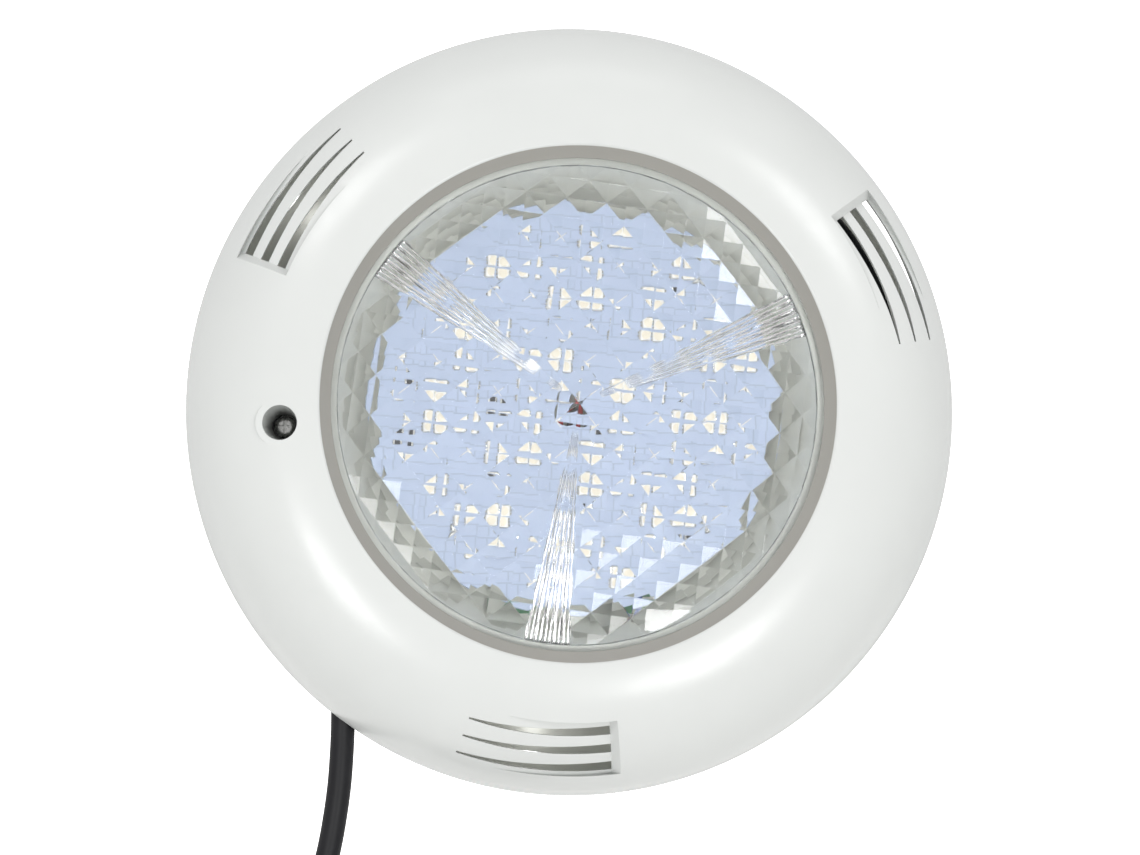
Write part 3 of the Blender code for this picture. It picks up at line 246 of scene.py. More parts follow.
# Coil of the spare cable: lanes as (radius, height over the coil's middle plane)
COIL_CENTRE = (-0.0640, -0.0100, -0.2420)
COIL_RADIUS = 0.0480
COIL_BUNDLE = 0.0185
COIL_LANES = ((0.0526, -0.0046), (0.0434, -0.0046), (0.0434, 0.0046), (0.0526, 0.0046))
COIL_FIRST_ANGLE = 150.0
COIL_LAST_ANGLE = 1280.0
COIL_SHIFTS = ((401.0, 501.0), (661.0, 761.0), (921.0, 1021.0))
COIL_STEP_ANGLE = 13.5
TIE_ANGLES = (165.0, 300.0)
TIE_WALL = 0.0012
TIE_WIDTH = 0.0045
TAIL_ROUTE = (
    (-0.1022, -0.0142, -0.2902),
    (-0.0998, -0.0138, -0.2970),
    (-0.0980, -0.0134, -0.3040),
)

# Camera and light
CAMERA_DISTANCE = 0.812
CAMERA_AZIMUTH = -3.67
CAMERA_ELEVATION = -2.94
CAMERA_LENS = 67.6
CAMERA_TARGET = (-0.0008, -RIM_HEIGHT, -0.0067)

# Levels that follow from the sizes above
LENS_TOP = RING_DEPTH - LIP_ROUND / 2 - BEVEL_DEPTH - SHOULDER_WALL - GAP
LENS_UNDERSIDE = LENS_TOP - LENS_FLANGE_THICKNESS
LENS_INNER_EDGE = LENS_RADIUS - GASKET_CLEARANCE
FLANGE_TOP = LENS_UNDERSIDE - GASKET_THICKNESS - 2 * GAP
FLANGE_UNDERSIDE = FLANGE_TOP - HOUSING_FLANGE_THICKNESS
FLANGE_RADIUS = LENS_RADIUS + FLANGE_WIDTH
LENS_SCREW_PITCH_RADIUS = LENS_RADIUS + FLANGE_WIDTH / 2 + 0.0002
OPENING_RADIUS = LENS_RADIUS + BEVEL_WIDTH
DOME_INNER_RADIUS = OPENING_RADIUS + LIP_ROUND
COLLAR_RADIUS = FLANGE_RADIUS + 0.0006
HOUSING_FLOOR = HOUSING_HEIGHT + HOUSING_BACK
RECESS_HEIGHT = PILOT_HEIGHT + 0.0006
CLIP_SCREW_PITCH_RADIUS = COLLAR_RADIUS + CLIP_SCREW_OFFSET
SPREADER_UNDERSIDE = BOARD_HEIGHT - GAP - SPREADER_THICKNESS
BOARD_TOP = BOARD_HEIGHT + BOARD_THICKNESS
WALL_OUTER = LENS_RADIUS - 0.0004
HEX_START = GLAND_THREAD_LENGTH + GLAND_WASHER_THICKNESS + 2 * GAP
HEX_END = HEX_START + GLAND_HEX_LENGTH
NOSE_END = HEX_END + GLAND_NOSE_LENGTH
NUT_END = NOSE_END + 2 * GAP + GLAND_SEAL_LENGTH + GLAND_NUT_END


# ---------------------------------------------------------------- mesh helpers


def polar(radius, degrees, height=0.0):
    return Vector((radius * cos(radians(degrees)), radius * sin(radians(degrees)), height))


def arc(centre, radius, first, last, count):
    """Points of an arc in a (radius, height) profile."""
    points = []
    for i in range(count + 1):
        angle = radians(first + (last - first) * i / count)
        points.append((centre[0] + radius * cos(angle), centre[1] + radius * sin(angle)))
    return points


def new_object(name, shape):
    """A closed mesh object from a bmesh, with its faces turned outwards."""
    bmesh.ops.recalc_face_normals(shape, faces=shape.faces)
    mesh = bpy.data.meshes.new(name)
    shape.to_mesh(mesh)
    shape.free()
    obj = bpy.data.objects.new(name, mesh)
    bpy.context.scene.collection.objects.link(obj)
    return obj


def turned(name, profile, steps=MEDIUM_STEPS, place=(0, 0, 0)):
    """A profile of (radius, height) pairs turned about Z, closed into a ring unless it starts on the axis."""
    shape = bmesh.new()
    angles = [2 * pi * i / steps for i in range(steps)]
    rows = []
    for radius, height in profile:
        if radius < 1e-9:
            rows.append([shape.verts.new((place[0], place[1], place[2] + height))])
            continue
        rows.append(
            [
                shape.verts.new((place[0] + radius * cos(a), place[1] + radius * sin(a), place[2] + height))
                for a in angles
            ]
        )
    if profile[0][0] > 0:
        rows.append(rows[0])
    for first, second in zip(rows, rows[1:]):
        for i in range(steps):
            j = (i + 1) % steps
            corners = (first[i % len(first)], first[j % len(first)], second[j % len(second)], second[i % len(second)])
            corners = list(dict.fromkeys(corners))
            if len(corners) > 2:
                shape.faces.new(corners)
    return new_object(name, shape)


def cylinder(name, radius, low, high, place=(0, 0, 0), steps=MEDIUM_STEPS, top_radius=None):
    top = radius if top_radius is None else top_radius
    return turned(name, [(0, high), (top, high), (radius, low), (0, low)], steps, place)


def box(name, size, centre=(0, 0, 0), turn=0.0):
    shape = bmesh.new()
    bmesh.ops.create_cube(shape, size=1.0)
    bmesh.ops.scale(shape, vec=size, verts=shape.verts)
    bmesh.ops.rotate(shape, matrix=Matrix.Rotation(radians(turn), 3, "Z"), verts=shape.verts)
    bmesh.ops.translate(shape, vec=centre, verts=shape.verts)
    return new_object(name, shape)


def prism(name, outline, low, high):
    """A flat outline of (x, y) points as a solid between two heights."""
    return loft(name, [[(x, y, low) for x, y in outline], [(x, y, high) for x, y in outline]])


def loft(name, sections):
    """A closed solid through sections that each list the same number of points."""
    shape = bmesh.new()
    rows = [[shape.verts.new(point) for point in section] for section in sections]
    count = len(rows[0])
    for first, second in zip(rows, rows[1:]):
        for i in range(count):
            j = (i + 1) % count
            shape.faces.new((first[i], first[j], second[j], second[i]))
    shape.faces.new(rows[0])
    shape.faces.new(rows[-1])
    return new_object(name, shape)


def combine(target, tool, operation):
    modifier = target.modifiers.new("combine", "BOOLEAN")
    modifier.operation = operation
    modifier.solver = "MANIFOLD"
    modifier.object = tool
    apply_modifiers(target)
    bpy.data.objects.remove(tool)
    return target


def cut(target, tool):
    return combine(target, tool, "DIFFERENCE")


def join(target, tool):
    return combine(target, tool, "UNION")


def apply_modifiers(obj):
    bpy.context.view_layer.update()
    graph = bpy.context.evaluated_depsgraph_get()
    mesh = bpy.data.meshes.new_from_object(obj.evaluated_get(graph))
    obj.modifiers.clear()
    obj.data = mesh
    return obj


def rounded(obj, width, segments=2, angle=35.0):
    bevel = obj.modifiers.new("rounding", "BEVEL")
    bevel.width = width
    bevel.segments = segments
    bevel.limit_method = "ANGLE"
    bevel.angle_limit = radians(angle)
    return apply_modifiers(obj)


def moved(obj, matrix):
    obj.data.transform(matrix)
    return obj


def merged(name, objects):
    """Several separate solids as one object."""
    shape = bmesh.new()
    for obj in objects:
        shape.from_mesh(obj.data)
        bpy.data.objects.remove(obj)
    mesh = bpy.data.meshes.new(name)
    shape.to_mesh(mesh)
    shape.free()
    obj = bpy.data.objects.new(name, mesh)
    bpy.context.scene.collection.objects.link(obj)
    return obj


def piece(obj, body, materials, nodes=(), sharp=32.0, matrix=FRONT):
    """The last step for each modelled piece: into the world, shaded, painted and fixed to its body."""
    if obj.data.materials:
        obj.data.materials.clear()
    obj.data.transform(matrix)
    obj.data.shade_smooth()
    obj.data.set_sharp_from_angle(angle=radians(sharp))
    for material in materials if isinstance(materials, (list, tuple)) else [materials]:
        obj.data.materials.append(material)
    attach(obj, body)
    if nodes:
        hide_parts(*nodes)
    return obj


def smooth_path(route, step):
    """Points about a step apart on the smooth curve through the points of a route."""
    knots = [Vector(point) for point in route]
    ends = [2 * knots[0] - knots[1], *knots, 2 * knots[-1] - knots[-2]]
    fine = []
    for a, b, c, d in zip(ends, ends[1:], ends[2:], ends[3:]):
        for i in range(24):
            t = i / 24
            fine.append(
                0.5 * (2 * b + (c - a) * t + (2 * a - 5 * b + 4 * c - d) * t * t + (3 * b - a - 3 * c + d) * t**3)
            )
    fine.append(knots[-1])
    return resampled(fine, step)


def resampled(fine, step):
    lengths = [(b - a).length for a, b in zip(fine, fine[1:])]
    count = max(2, round(sum(lengths) / step))
    wanted = sum(lengths) / count
    points, walked = [fine[0]], 0.0
    for point, length in zip(fine[1:], lengths):
        walked += length
        if walked >= wanted * len(points) and len(points) < count:
            points.append(point)
    return [*points, fine[-1]]


def sweep(name, points, radii, sides=48):
    """A round bar of changing radius along points, as a mesh."""
    sections = []
    side = None
    for i, point in enumerate(points):
        ahead = points[min(i + 1, len(points) - 1)] - points[max(i - 1, 0)]
        ahead.normalize()
        side = ahead.orthogonal() if side is None else side - ahead * side.dot(ahead)
        side.normalize()
        other = ahead.cross(side)
        turns = [2 * pi * k / sides for k in range(sides)]
        sections.append([point + (side * cos(t) + other * sin(t)) * radii[i] for t in turns])
    return loft(name, sections)


# ---------------------------------------------------------------- materials


def material_of(name, color, roughness, metallic=0.0):
    material = bpy.data.materials.new(name)
    material.use_nodes = True
    shader = material.node_tree.nodes["Principled BSDF"]
    shader.inputs["Base Color"].default_value = (*color, 1.0)
    shader.inputs["Roughness"].default_value = roughness
    shader.inputs["Metallic"].default_value = metallic
    return material


def link(material, start, end):
    material.node_tree.links.new(start, end)


def noise(material, scale, detail=3.0, stretch=(1, 1, 1)):
    nodes = material.node_tree.nodes
    place = nodes.new("ShaderNodeTexCoord")
    mapping = nodes.new("ShaderNodeMapping")
    mapping.inputs["Scale"].default_value = stretch
    texture = nodes.new("ShaderNodeTexNoise")
    texture.inputs["Scale"].default_value = scale
    texture.inputs["Detail"].default_value = detail
    link(material, place.outputs["Object"], mapping.inputs["Vector"])
    link(material, mapping.outputs["Vector"], texture.inputs["Vector"])
    return texture.outputs["Fac"]


def vary_color(material, factor, low, high):
    """The base colour runs between two shades as the factor goes from 0.3 to 0.7."""
    ramp = material.node_tree.nodes.new("ShaderNodeValToRGB")
    ramp.color_ramp.elements[0].position = 0.3
    ramp.color_ramp.elements[1].position = 0.7
    ramp.color_ramp.elements[0].color = (*low, 1.0)
    ramp.color_ramp.elements[1].color = (*high, 1.0)
    link(material, factor, ramp.inputs["Fac"])
    link(material, ramp.outputs["Color"], material.node_tree.nodes["Principled BSDF"].inputs["Base Color"])
    return ramp.outputs["Color"]


def vary_roughness(material, factor, low, high):
    spread = material.node_tree.nodes.new("ShaderNodeMapRange")
    spread.inputs["From Min"].default_value = 0.3
    spread.inputs["From Max"].default_value = 0.7
    spread.inputs["To Min"].default_value = low
    spread.inputs["To Max"].default_value = high
    link(material, factor, spread.inputs["Value"])
    link(material, spread.outputs["Result"], material.node_tree.nodes["Principled BSDF"].inputs["Roughness"])


def bump(material, height, strength, distance, edge=0.0):
    """Fine relief and, where edge is given, edges that catch the light as if rounded by that radius."""
    nodes = material.node_tree.nodes
    relief = nodes.new("ShaderNodeBump")
    relief.inputs["Strength"].default_value = strength
    relief.inputs["Distance"].default_value = distance
    link(material, height, relief.inputs["Height"])
    if edge:
        soft = nodes.new("ShaderNodeBevel")
        soft.samples = 4
        soft.inputs["Radius"].default_value = edge
        link(material, soft.outputs["Normal"], relief.inputs["Normal"])
    link(material, relief.outputs["Normal"], nodes["Principled BSDF"].inputs["Normal"])


def shade(color, factor):
    return tuple(min(1.0, part * factor) for part in color)


def moulded(name, color, roughness, mottle=0.012, grain=0.03, edge=0.0003):
    """Injection-moulded plastic: faint flow mottle, uneven gloss and a very fine grain."""
    material = material_of(name, color, roughness)
    flow = noise(material, 28.0, 4.0)
    vary_color(material, flow, shade(color, 1 - mottle), shade(color, 1 + mottle))
    vary_roughness(material, noise(material, 160.0, 2.0), roughness * 0.9, roughness * 1.12)
    bump(material, noise(material, 900.0, 3.0), grain, 0.0002, edge)
    return material


def turned_metal(name, color, roughness, edge=0.00015):
    """Machined metal with fine tool marks."""
    material = material_of(name, color, roughness, metallic=1.0)
    marks = noise(material, 700.0, 4.0, (1, 0.08, 1))
    vary_color(material, marks, shade(color, 0.92), shade(color, 1.06))
    vary_roughness(material, marks, roughness * 0.8, roughness * 1.25)
    bump(material, marks, 0.08, 0.0001, edge)
    return material


def rubber(name, color, roughness):
    material = material_of(name, color, roughness)
    material.node_tree.nodes["Principled BSDF"].inputs["Specular IOR Level"].default_value = 0.30
    bloom = noise(material, 55.0, 5.0)
    vary_color(material, bloom, shade(color, 0.85), shade(color, 1.35))
    vary_roughness(material, bloom, roughness * 0.92, roughness * 1.1)
    bump(material, noise(material, 1400.0, 2.0), 0.12, 0.0002)
    return material


def clear_material():
    """Clear moulded polycarbonate with the faintest flow lines."""
    material = material_of("clear_polycarbonate", (0.985, 0.992, 0.99), 0.012)
    shader = material.node_tree.nodes["Principled BSDF"]
    shader.inputs["Transmission Weight"].default_value = 1.0
    shader.inputs["IOR"].default_value = 1.56
    vary_roughness(material, noise(material, 60.0, 2.0), 0.005, 0.02)
    bump(material, noise(material, 90.0, 2.0), 0.03, 0.0002, 0.0006)
    let_light_through(material)
    return material


def let_light_through(material):
    """Light from lamps passes the clear plastic unbent, so that what lies under it is lit."""
    nodes = material.node_tree.nodes
    path = nodes.new("ShaderNodeLightPath")
    open_side = nodes.new("ShaderNodeBsdfTransparent")
    open_side.inputs["Color"].default_value = (0.94, 0.95, 0.95, 1.0)
    mix = nodes.new("ShaderNodeMixShader")
    link(material, path.outputs["Is Shadow Ray"], mix.inputs["Fac"])
    link(material, nodes["Principled BSDF"].outputs["BSDF"], mix.inputs[1])
    link(material, open_side.outputs["BSDF"], mix.inputs[2])
    link(material, mix.outputs["Shader"], nodes["Material Output"].inputs["Surface"])


def board_material():
    """Pale blue solder mask with slightly raised, lighter copper areas under it."""
    color = (0.39, 0.455, 0.60)
    material = material_of("solder_mask_blue", color, 0.32)
    nodes = material.node_tree.nodes
    place = nodes.new("ShaderNodeTexCoord")
    tracks = nodes.new("ShaderNodeTexBrick")
    tracks.inputs["Scale"].default_value = 1.0
    tracks.inputs["Brick Width"].default_value = LED_PITCH * 2
    tracks.inputs["Row Height"].default_value = LED_PITCH / 2
    tracks.inputs["Mortar Size"].default_value = 0.0003
    tracks.inputs["Mortar Smooth"].default_value = 0.2
    tracks.inputs["Color1"].default_value = (*shade(color, 1.05), 1.0)
    tracks.inputs["Color2"].default_value = (*shade(color, 1.0), 1.0)
    tracks.inputs["Mortar"].default_value = (*shade(color, 0.86), 1.0)
    turn = nodes.new("ShaderNodeMapping")
    turn.inputs["Rotation"].default_value = (pi / 2, 0, 0)
    link(material, place.outputs["Object"], turn.inputs["Vector"])
    link(material, turn.outputs["Vector"], tracks.inputs["Vector"])
    link(material, tracks.outputs["Color"], nodes["Principled BSDF"].inputs["Base Color"])
    bump(material, tracks.outputs["Fac"], 0.15, 0.00005)
    return material


white_abs = moulded("white_abs", (0.70, 0.715, 0.70), 0.24)
# Grey-beige for the inward-facing bevel of the white face ring: painted shade, darker than the ring's own white
bevel_painted_shade = moulded("bevel_painted_shade", (0.36, 0.35, 0.32), 0.20)
inner_abs = moulded("inner_abs", (0.74, 0.745, 0.69), 0.42, mottle=0.02, grain=0.08)
clear_pc = clear_material()
black_rubber = rubber("cable_rubber", (0.009, 0.009, 0.011), 0.46)
gland_nylon = moulded("gland_nylon", (0.018, 0.018, 0.019), 0.38, mottle=0.1, grain=0.12)
tie_nylon = moulded("tie_nylon", (0.022, 0.022, 0.022), 0.36, mottle=0.1, grain=0.05)
stainless = turned_metal("stainless", (0.60, 0.60, 0.585), 0.26)
brass_metal = turned_metal("brass_turned", (0.72, 0.53, 0.24), 0.28)
aluminium = turned_metal("aluminium_sheet", (0.74, 0.75, 0.76), 0.36)
tinned = turned_metal("tinned_copper", (0.74, 0.73, 0.70), 0.22)
solder_mask = board_material()
led_white = moulded("led_frame_white", (0.80, 0.78, 0.74), 0.35)
phosphor = moulded("phosphor_cream", (0.76, 0.70, 0.58), 0.30, mottle=0.03)
silicone = moulded("milky_silicone", (0.56, 0.57, 0.53), 0.38, mottle=0.02)
chip_black = moulded("chip_black_epoxy", (0.03, 0.03, 0.032), 0.42, mottle=0.15)

CAD_FINISHES = {
    "board_green": moulded("solder_mask_green", (0.04, 0.21, 0.085), 0.33, mottle=0.12),
    "ferrite": moulded("ferrite_drum", (0.06, 0.06, 0.062), 0.6, mottle=0.2, grain=0.2),
    "capacitor_sleeve": moulded("capacitor_wrap", (0.03, 0.045, 0.11), 0.3, mottle=0.1),
    "chip_black": chip_black,
    "fuse_block": moulded("fuse_body", (0.33, 0.28, 0.21), 0.45, mottle=0.08),
    "terminal_green": moulded("terminal_nylon", (0.04, 0.31, 0.12), 0.34, mottle=0.06),
    "core_brown": moulded("core_pvc_brown", (0.15, 0.055, 0.025), 0.4, mottle=0.08),
    "core_blue": moulded("core_pvc_blue", (0.03, 0.11, 0.42), 0.4, mottle=0.08),
    "lead_red": moulded("lead_pvc_red", (0.48, 0.03, 0.025), 0.38, mottle=0.06),
    "lead_black": moulded("lead_pvc_black", (0.02, 0.02, 0.021), 0.38, mottle=0.1),
    "black_rubber": black_rubber,
    "clear_silicone": silicone,
    "aluminium": aluminium,
    "stainless_steel": stainless,
    "brass": brass_metal,
    "inner_plastic": inner_abs,
    "white_plastic": white_abs,
    "clear_plastic": clear_pc,
    "gland_black": gland_nylon,
    "tie_black": tie_nylon,
    "ferrule_tin": tinned,
    "board_blue": solder_mask,
}


def paint_cad_nodes():
    """Each CAD node gets the finish of its slot; those that a modelled piece replaces stay hidden."""
    slots = {part["node"]: part["material_slot"] for part in frame["record"]["subparts"]}
    for name, obj in frame["nodes"].items():
        obj.data.materials.clear()
        obj.data.materials.append(CAD_FINISHES[slots[name]])


# ---------------------------------------------------------------- camera, light and stage


def direction(azimuth, elevation):
    a, e = radians(azimuth), radians(elevation)
    return Vector((sin(a) * cos(e), -cos(a) * cos(e), sin(e)))


def make_camera():
    data = bpy.data.cameras.new("camera")
    data.lens = CAMERA_LENS
    data.clip_start = 0.01
    data.clip_end = 20.0
    camera = bpy.data.objects.new("camera", data)
    bpy.context.scene.collection.objects.link(camera)
    back = direction(CAMERA_AZIMUTH, CAMERA_ELEVATION)
    camera.location = Vector(CAMERA_TARGET) + back * CAMERA_DISTANCE
    camera.rotation_euler = (-back).to_track_quat("-Z", "Y").to_euler()
    bpy.context.scene.camera = camera


def add_softbox(name, azimuth, elevation, distance, size, power):
    data = bpy.data.lights.new(name, "AREA")
    data.shape = "RECTANGLE"
    data.size, data.size_y = size
    data.energy = power
    lamp = bpy.data.objects.new(name, data)
    bpy.context.scene.collection.objects.link(lamp)
    back = direction(azimuth, elevation)
    lamp.location = back * distance
    lamp.rotation_euler = (-back).to_track_quat("-Z", "Y").to_euler()
    lamp.visible_camera = False


def add_glow(name, angle, power):
    """Soft light on the bracket behind one group of vent slots."""
    data = bpy.data.lights.new(name, "POINT")
    data.energy = power
    data.shadow_soft_size = 0.003
    data.specular_factor = 0.0
    lamp = bpy.data.objects.new(name, data)
    bpy.context.scene.collection.objects.link(lamp)
    lamp.location = FRONT @ polar(0.5 * (COLLAR_RADIUS + RIM_RADIUS), angle, 0.5 * (RIM_HEIGHT + PLATE_THICKNESS) + 0.004)
    lamp.visible_camera = False


def make_lights():
    world = bpy.data.worlds.new("studio")
    bpy.context.scene.world = world
    world.use_nodes = True
    background = world.node_tree.nodes["Background"]
    background.inputs["Color"].default_value = (1.0, 1.0, 1.0, 1.0)
    background.inputs["Strength"].default_value = 0.69
    add_softbox("softbox_left", -24.0, -16.0, 1.5, (0.32, 0.32), 3.4)
    add_softbox("softbox_right", 15.5, -19.0, 1.5, (0.32, 0.32), 3.8)
    add_softbox("panel_left", -30.0, 30.0, 1.6, (0.38, 0.38), 3.0)
    add_softbox("panel_right", 32.0, 24.0, 1.6, (0.38, 0.38), 3.0)
    add_softbox("softbox_top", 0.0, 66.0, 1.8, (1.2, 0.6), 1.4)
    for group in range(VENT_GROUPS):
        add_glow(f"glow_{group + 1}", VENT_DEEP_ANGLE - VENT_SPAN / 2 + 360 / VENT_GROUPS * group, 0.0020)


def make_stage():
    """A glowing white backdrop well behind the wall and a pale floor far below."""
    wall = box("backdrop", (12.0, 12.0, 0.01), (0.0, 0.0, -3.2))
    moved(wall, FRONT)
    glow = material_of("backdrop_glow", (1.0, 1.0, 1.0), 1.0)
    shader = glow.node_tree.nodes["Principled BSDF"]
    shader.inputs["Emission Color"].default_value = (1.0, 1.0, 1.0, 1.0)
    shader.inputs["Emission Strength"].default_value = 1.05
    wall.data.materials.append(glow)
    floor = box("studio_floor", (12.0, 12.0, 0.01), (0.0, 0.0, -2.2))
    floor.data.materials.append(moulded("floor_paint", (0.80, 0.80, 0.79), 0.6))
    wall.visible_glossy = False
    bpy.context.scene.view_settings.view_transform = "Standard"


# ---------------------------------------------------------------- cable, coil and ties


def coil_lane(angle):
    """(radius, height) of the cable in the coil at a wound angle: it eases from lane to lane."""
    radius, height = COIL_LANES[0]
    for (first, last), (_, after) in zip(COIL_SHIFTS, zip(COIL_LANES, COIL_LANES[1:])):
        share = min(max((angle - first) / (last - first), 0.0), 1.0)
        ease = share * share * (3 - 2 * share)
        radius += (after[0] - radius) * ease
        height += (after[1] - height) * ease
    return radius, height


def coil_points():
    count = ceil((COIL_LAST_ANGLE - COIL_FIRST_ANGLE) / COIL_STEP_ANGLE)
    points = []
    for i in range(count + 1):
        angle = COIL_FIRST_ANGLE + (COIL_LAST_ANGLE - COIL_FIRST_ANGLE) * i / count
        radius, height = coil_lane(angle)
        x, z = radius * cos(radians(angle)), radius * sin(radians(angle))
        points.append(Vector(COIL_CENTRE) + Vector((x, -height, z)))
    return points


def curve_tube(name, points, radius, material, body="lamp", nodes=()):
    curve = bpy.data.curves.new(name, "CURVE")
    curve.dimensions = "3D"
    curve.bevel_depth = radius
    curve.bevel_resolution = 8
    curve.resolution_u = 8
    curve.use_fill_caps = True
    spline = curve.splines.new("BEZIER")
    spline.bezier_points.add(len(points) - 1)
    for knot, point in zip(spline.bezier_points, points):
        knot.co = point
        knot.handle_left_type = "AUTO"
        knot.handle_right_type = "AUTO"
    curve.materials.append(material)
    obj = bpy.data.objects.new(name, curve)
    bpy.context.scene.collection.objects.link(obj)
    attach(obj, body)
    if nodes:
        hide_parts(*nodes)
    return obj


def make_sleeve():
    """The tapered strain relief, with ridges round it."""
    fine = smooth_path(CABLE_ROUTE, 0.0004)
    count = 64
    points = resampled(fine[: int(SLEEVE_LENGTH / 0.0004) + 1], SLEEVE_LENGTH / count)
    last = len(points) - 1
    radii = []
    for i in range(last + 1):
        share = i / last
        radius = SLEEVE_RADIUS + (SLEEVE_TIP_RADIUS - SLEEVE_RADIUS) * share
        ridge = 0.0005 * max(0.0, sin(share * 2 * pi * 6)) if 0.1 < share < 0.93 else 0.0
        radii.append(radius - ridge)
    sleeve = sweep("strain_relief", points, radii)
    return piece(sleeve, "lamp", gland_nylon, ["cable_sleeve"], 50.0, Matrix())


def make_ties():
    """Flat nylon bands round the coil, each with its small square head."""
    ties = []
    half = COIL_BUNDLE / 2 + GAP
    for i, angle in enumerate(TIE_ANGLES):
        outer = box(f"tie_{i + 1}", (2 * (half + TIE_WALL), TIE_WIDTH, 2 * (half + TIE_WALL)))
        outer = rounded(outer, 0.0024, 4)
        inner = rounded(box("tie_hollow", (2 * half, 4 * TIE_WIDTH, 2 * half)), 0.0018, 4)
        cut(outer, inner)
        head = rounded(box("tie_head", (0.0056, 0.0052, 0.0016), (0.002, 0, half + TIE_WALL + 0.0004)), 0.0004)
        join(outer, head)
        centre = Vector((COIL_CENTRE[0], COIL_CENTRE[2], -COIL_CENTRE[1]))
        place = centre + polar(COIL_RADIUS, angle)
        moved(outer, Matrix.Translation(place) @ Matrix.Rotation(radians(angle), 4, "Z"))
        ties.append(piece(outer, "lamp", tie_nylon, [f"coil_tie_{i + 1}"]))
    return ties


def make_cable():
    route = [Vector(point) for point in CABLE_ROUTE]
    points = [*route, *coil_points(), *[Vector(point) for point in TAIL_ROUTE]]
    cable = curve_tube(
        "supply_cable", points, CABLE_RADIUS, black_rubber,
        nodes=["cable", "cable_coil", "cable_tail"],
    )
    sleeve = make_sleeve()
    ties = make_ties()


# ---------------------------------------------------------------- face ring


def dome_height(radius):
    share = (radius - DOME_INNER_RADIUS) / (RIM_RADIUS - DOME_INNER_RADIUS)
    share = min(max(share, 0.0), 1.0)
    return RIM_HEIGHT + (RING_DEPTH - RIM_HEIGHT) * sqrt(1 - share**DOME_ROUNDNESS)


def ring_section():
    span = RIM_RADIUS - DOME_INNER_RADIUS
    angles = [i / DOME_POINTS * pi / 2 for i in range(DOME_POINTS + 1)]
    outer = [(DOME_INNER_RADIUS + span * sin(a), dome_height(DOME_INNER_RADIUS + span * sin(a))) for a in angles]
    collar_outer = COLLAR_RADIUS + COLLAR_WALL
    inner = []
    for radius, height in reversed(outer[1:-1:2]):
        shrink = (radius - DOME_INNER_RADIUS) / span
        inside = (radius - RING_WALL * shrink, height - RING_WALL * (1.15 - 0.4 * shrink))
        if inside[0] > collar_outer + SEAM and inside[1] > RIM_HEIGHT:
            inner.append(inside)
    inner_edge = RIM_RADIUS - RING_WALL
    shoulder = LENS_TOP + GAP
    collar_end = FLANGE_UNDERSIDE + COLLAR_BELOW_FLANGE
    lip = arc((DOME_INNER_RADIUS, RING_DEPTH - LIP_ROUND), LIP_ROUND, 150.0, 96.0, 5)
    return [
        *outer,
        (RIM_RADIUS, RIM_EDGE + 0.0008),
        (RIM_RADIUS - 0.0003, RIM_EDGE + 0.0002),
        (RIM_RADIUS - 0.0009, RIM_EDGE),
        (inner_edge + 0.0004, RIM_EDGE),
        (inner_edge, RIM_EDGE + 0.0004),
        (inner_edge, RIM_HEIGHT),
        *inner,
        (collar_outer, dome_height(collar_outer) - 1.15 * RING_WALL),
        (collar_outer, collar_end),
        (COLLAR_RADIUS, collar_end),
        (COLLAR_RADIUS, shoulder),
        (LENS_RADIUS, shoulder),
        (LENS_RADIUS, shoulder + SHOULDER_WALL),
        *lip,
    ]


def slot_edge(slot):
    return RIM_RADIUS - VENT_EDGE_MARGIN - slot * SLOT_PITCH


def pocket_sections(floor_drop, top_offset, margin, deep_angle):
    """Sections of the wedge under or over one vent group, from its tips to its deep end."""
    low = slot_edge(VENT_SLOTS - 1) - SLOT_WIDTH - POCKET_MARGIN - margin
    high = slot_edge(0) + POCKET_MARGIN + margin
    radii = [low + (high - low) * i / (POCKET_ARC_POINTS - 1) for i in range(POCKET_ARC_POINTS)]
    sections = []
    for i in range(SLOT_STEPS + 1):
        share = i / SLOT_STEPS
        angle = deep_angle - VENT_SPAN * (1 - share)
        sink = POCKET_DEPTH * share - (1 - share) * SEAM + floor_drop
        if floor_drop:
            sink = max(sink, PAD_ROOF + SEAM)
        floor = [polar(r, angle, dome_height(r) - sink) for r in radii]
        roof = [polar(r, angle, dome_height(r) + top_offset) for r in reversed(radii)]
        sections.append(floor + roof)
    return sections


def end_slope(sections):
    """One more section past the deep end, so that the pocket's end wall leans."""
    last = sections[-1]
    slope = Matrix.Rotation(radians(POCKET_SLOPE_ANGLE), 3, "Z")
    lift = Vector((0, 0, POCKET_DEPTH + SEAM))
    floor = [slope @ point + lift for point in last[:POCKET_ARC_POINTS]]
    return [*sections, floor + [slope @ point + lift for point in last[POCKET_ARC_POINTS:]]]


def slot_outline(outer, deep_angle):
    angles = [deep_angle - VENT_SPAN * i / SLOT_STEPS for i in range(SLOT_STEPS + 1)]
    outside = [polar(outer, angle) for angle in angles]
    inside = []
    for i, angle in enumerate(angles):
        share = 1 - (i / SLOT_STEPS) ** 1.5
        inside.append(polar(outer - SLOT_TIP_WIDTH - (SLOT_WIDTH - SLOT_TIP_WIDTH) * share, angle))
    return [(point.x, point.y) for point in outside + inside[::-1]]


def add_vent_group(ring, group):
    deep_angle = VENT_DEEP_ANGLE + 360 / VENT_GROUPS * group
    under = pocket_sections(POCKET_FLOOR, -PAD_ROOF, PAD_MARGIN, deep_angle + POCKET_SLOPE_ANGLE)
    join(ring, loft("pad", under))
    cut(ring, loft("pocket", end_slope(pocket_sections(0.0, 0.02, 0.0, deep_angle))))
    for slot in range(VENT_SLOTS):
        outline = slot_outline(slot_edge(slot), deep_angle)
        cut(ring, prism("slot", outline, RIM_HEIGHT, RING_DEPTH + 0.001))


def lock_place(height=0.0):
    return polar(LOCK_RADIUS, LOCK_ANGLE, height)


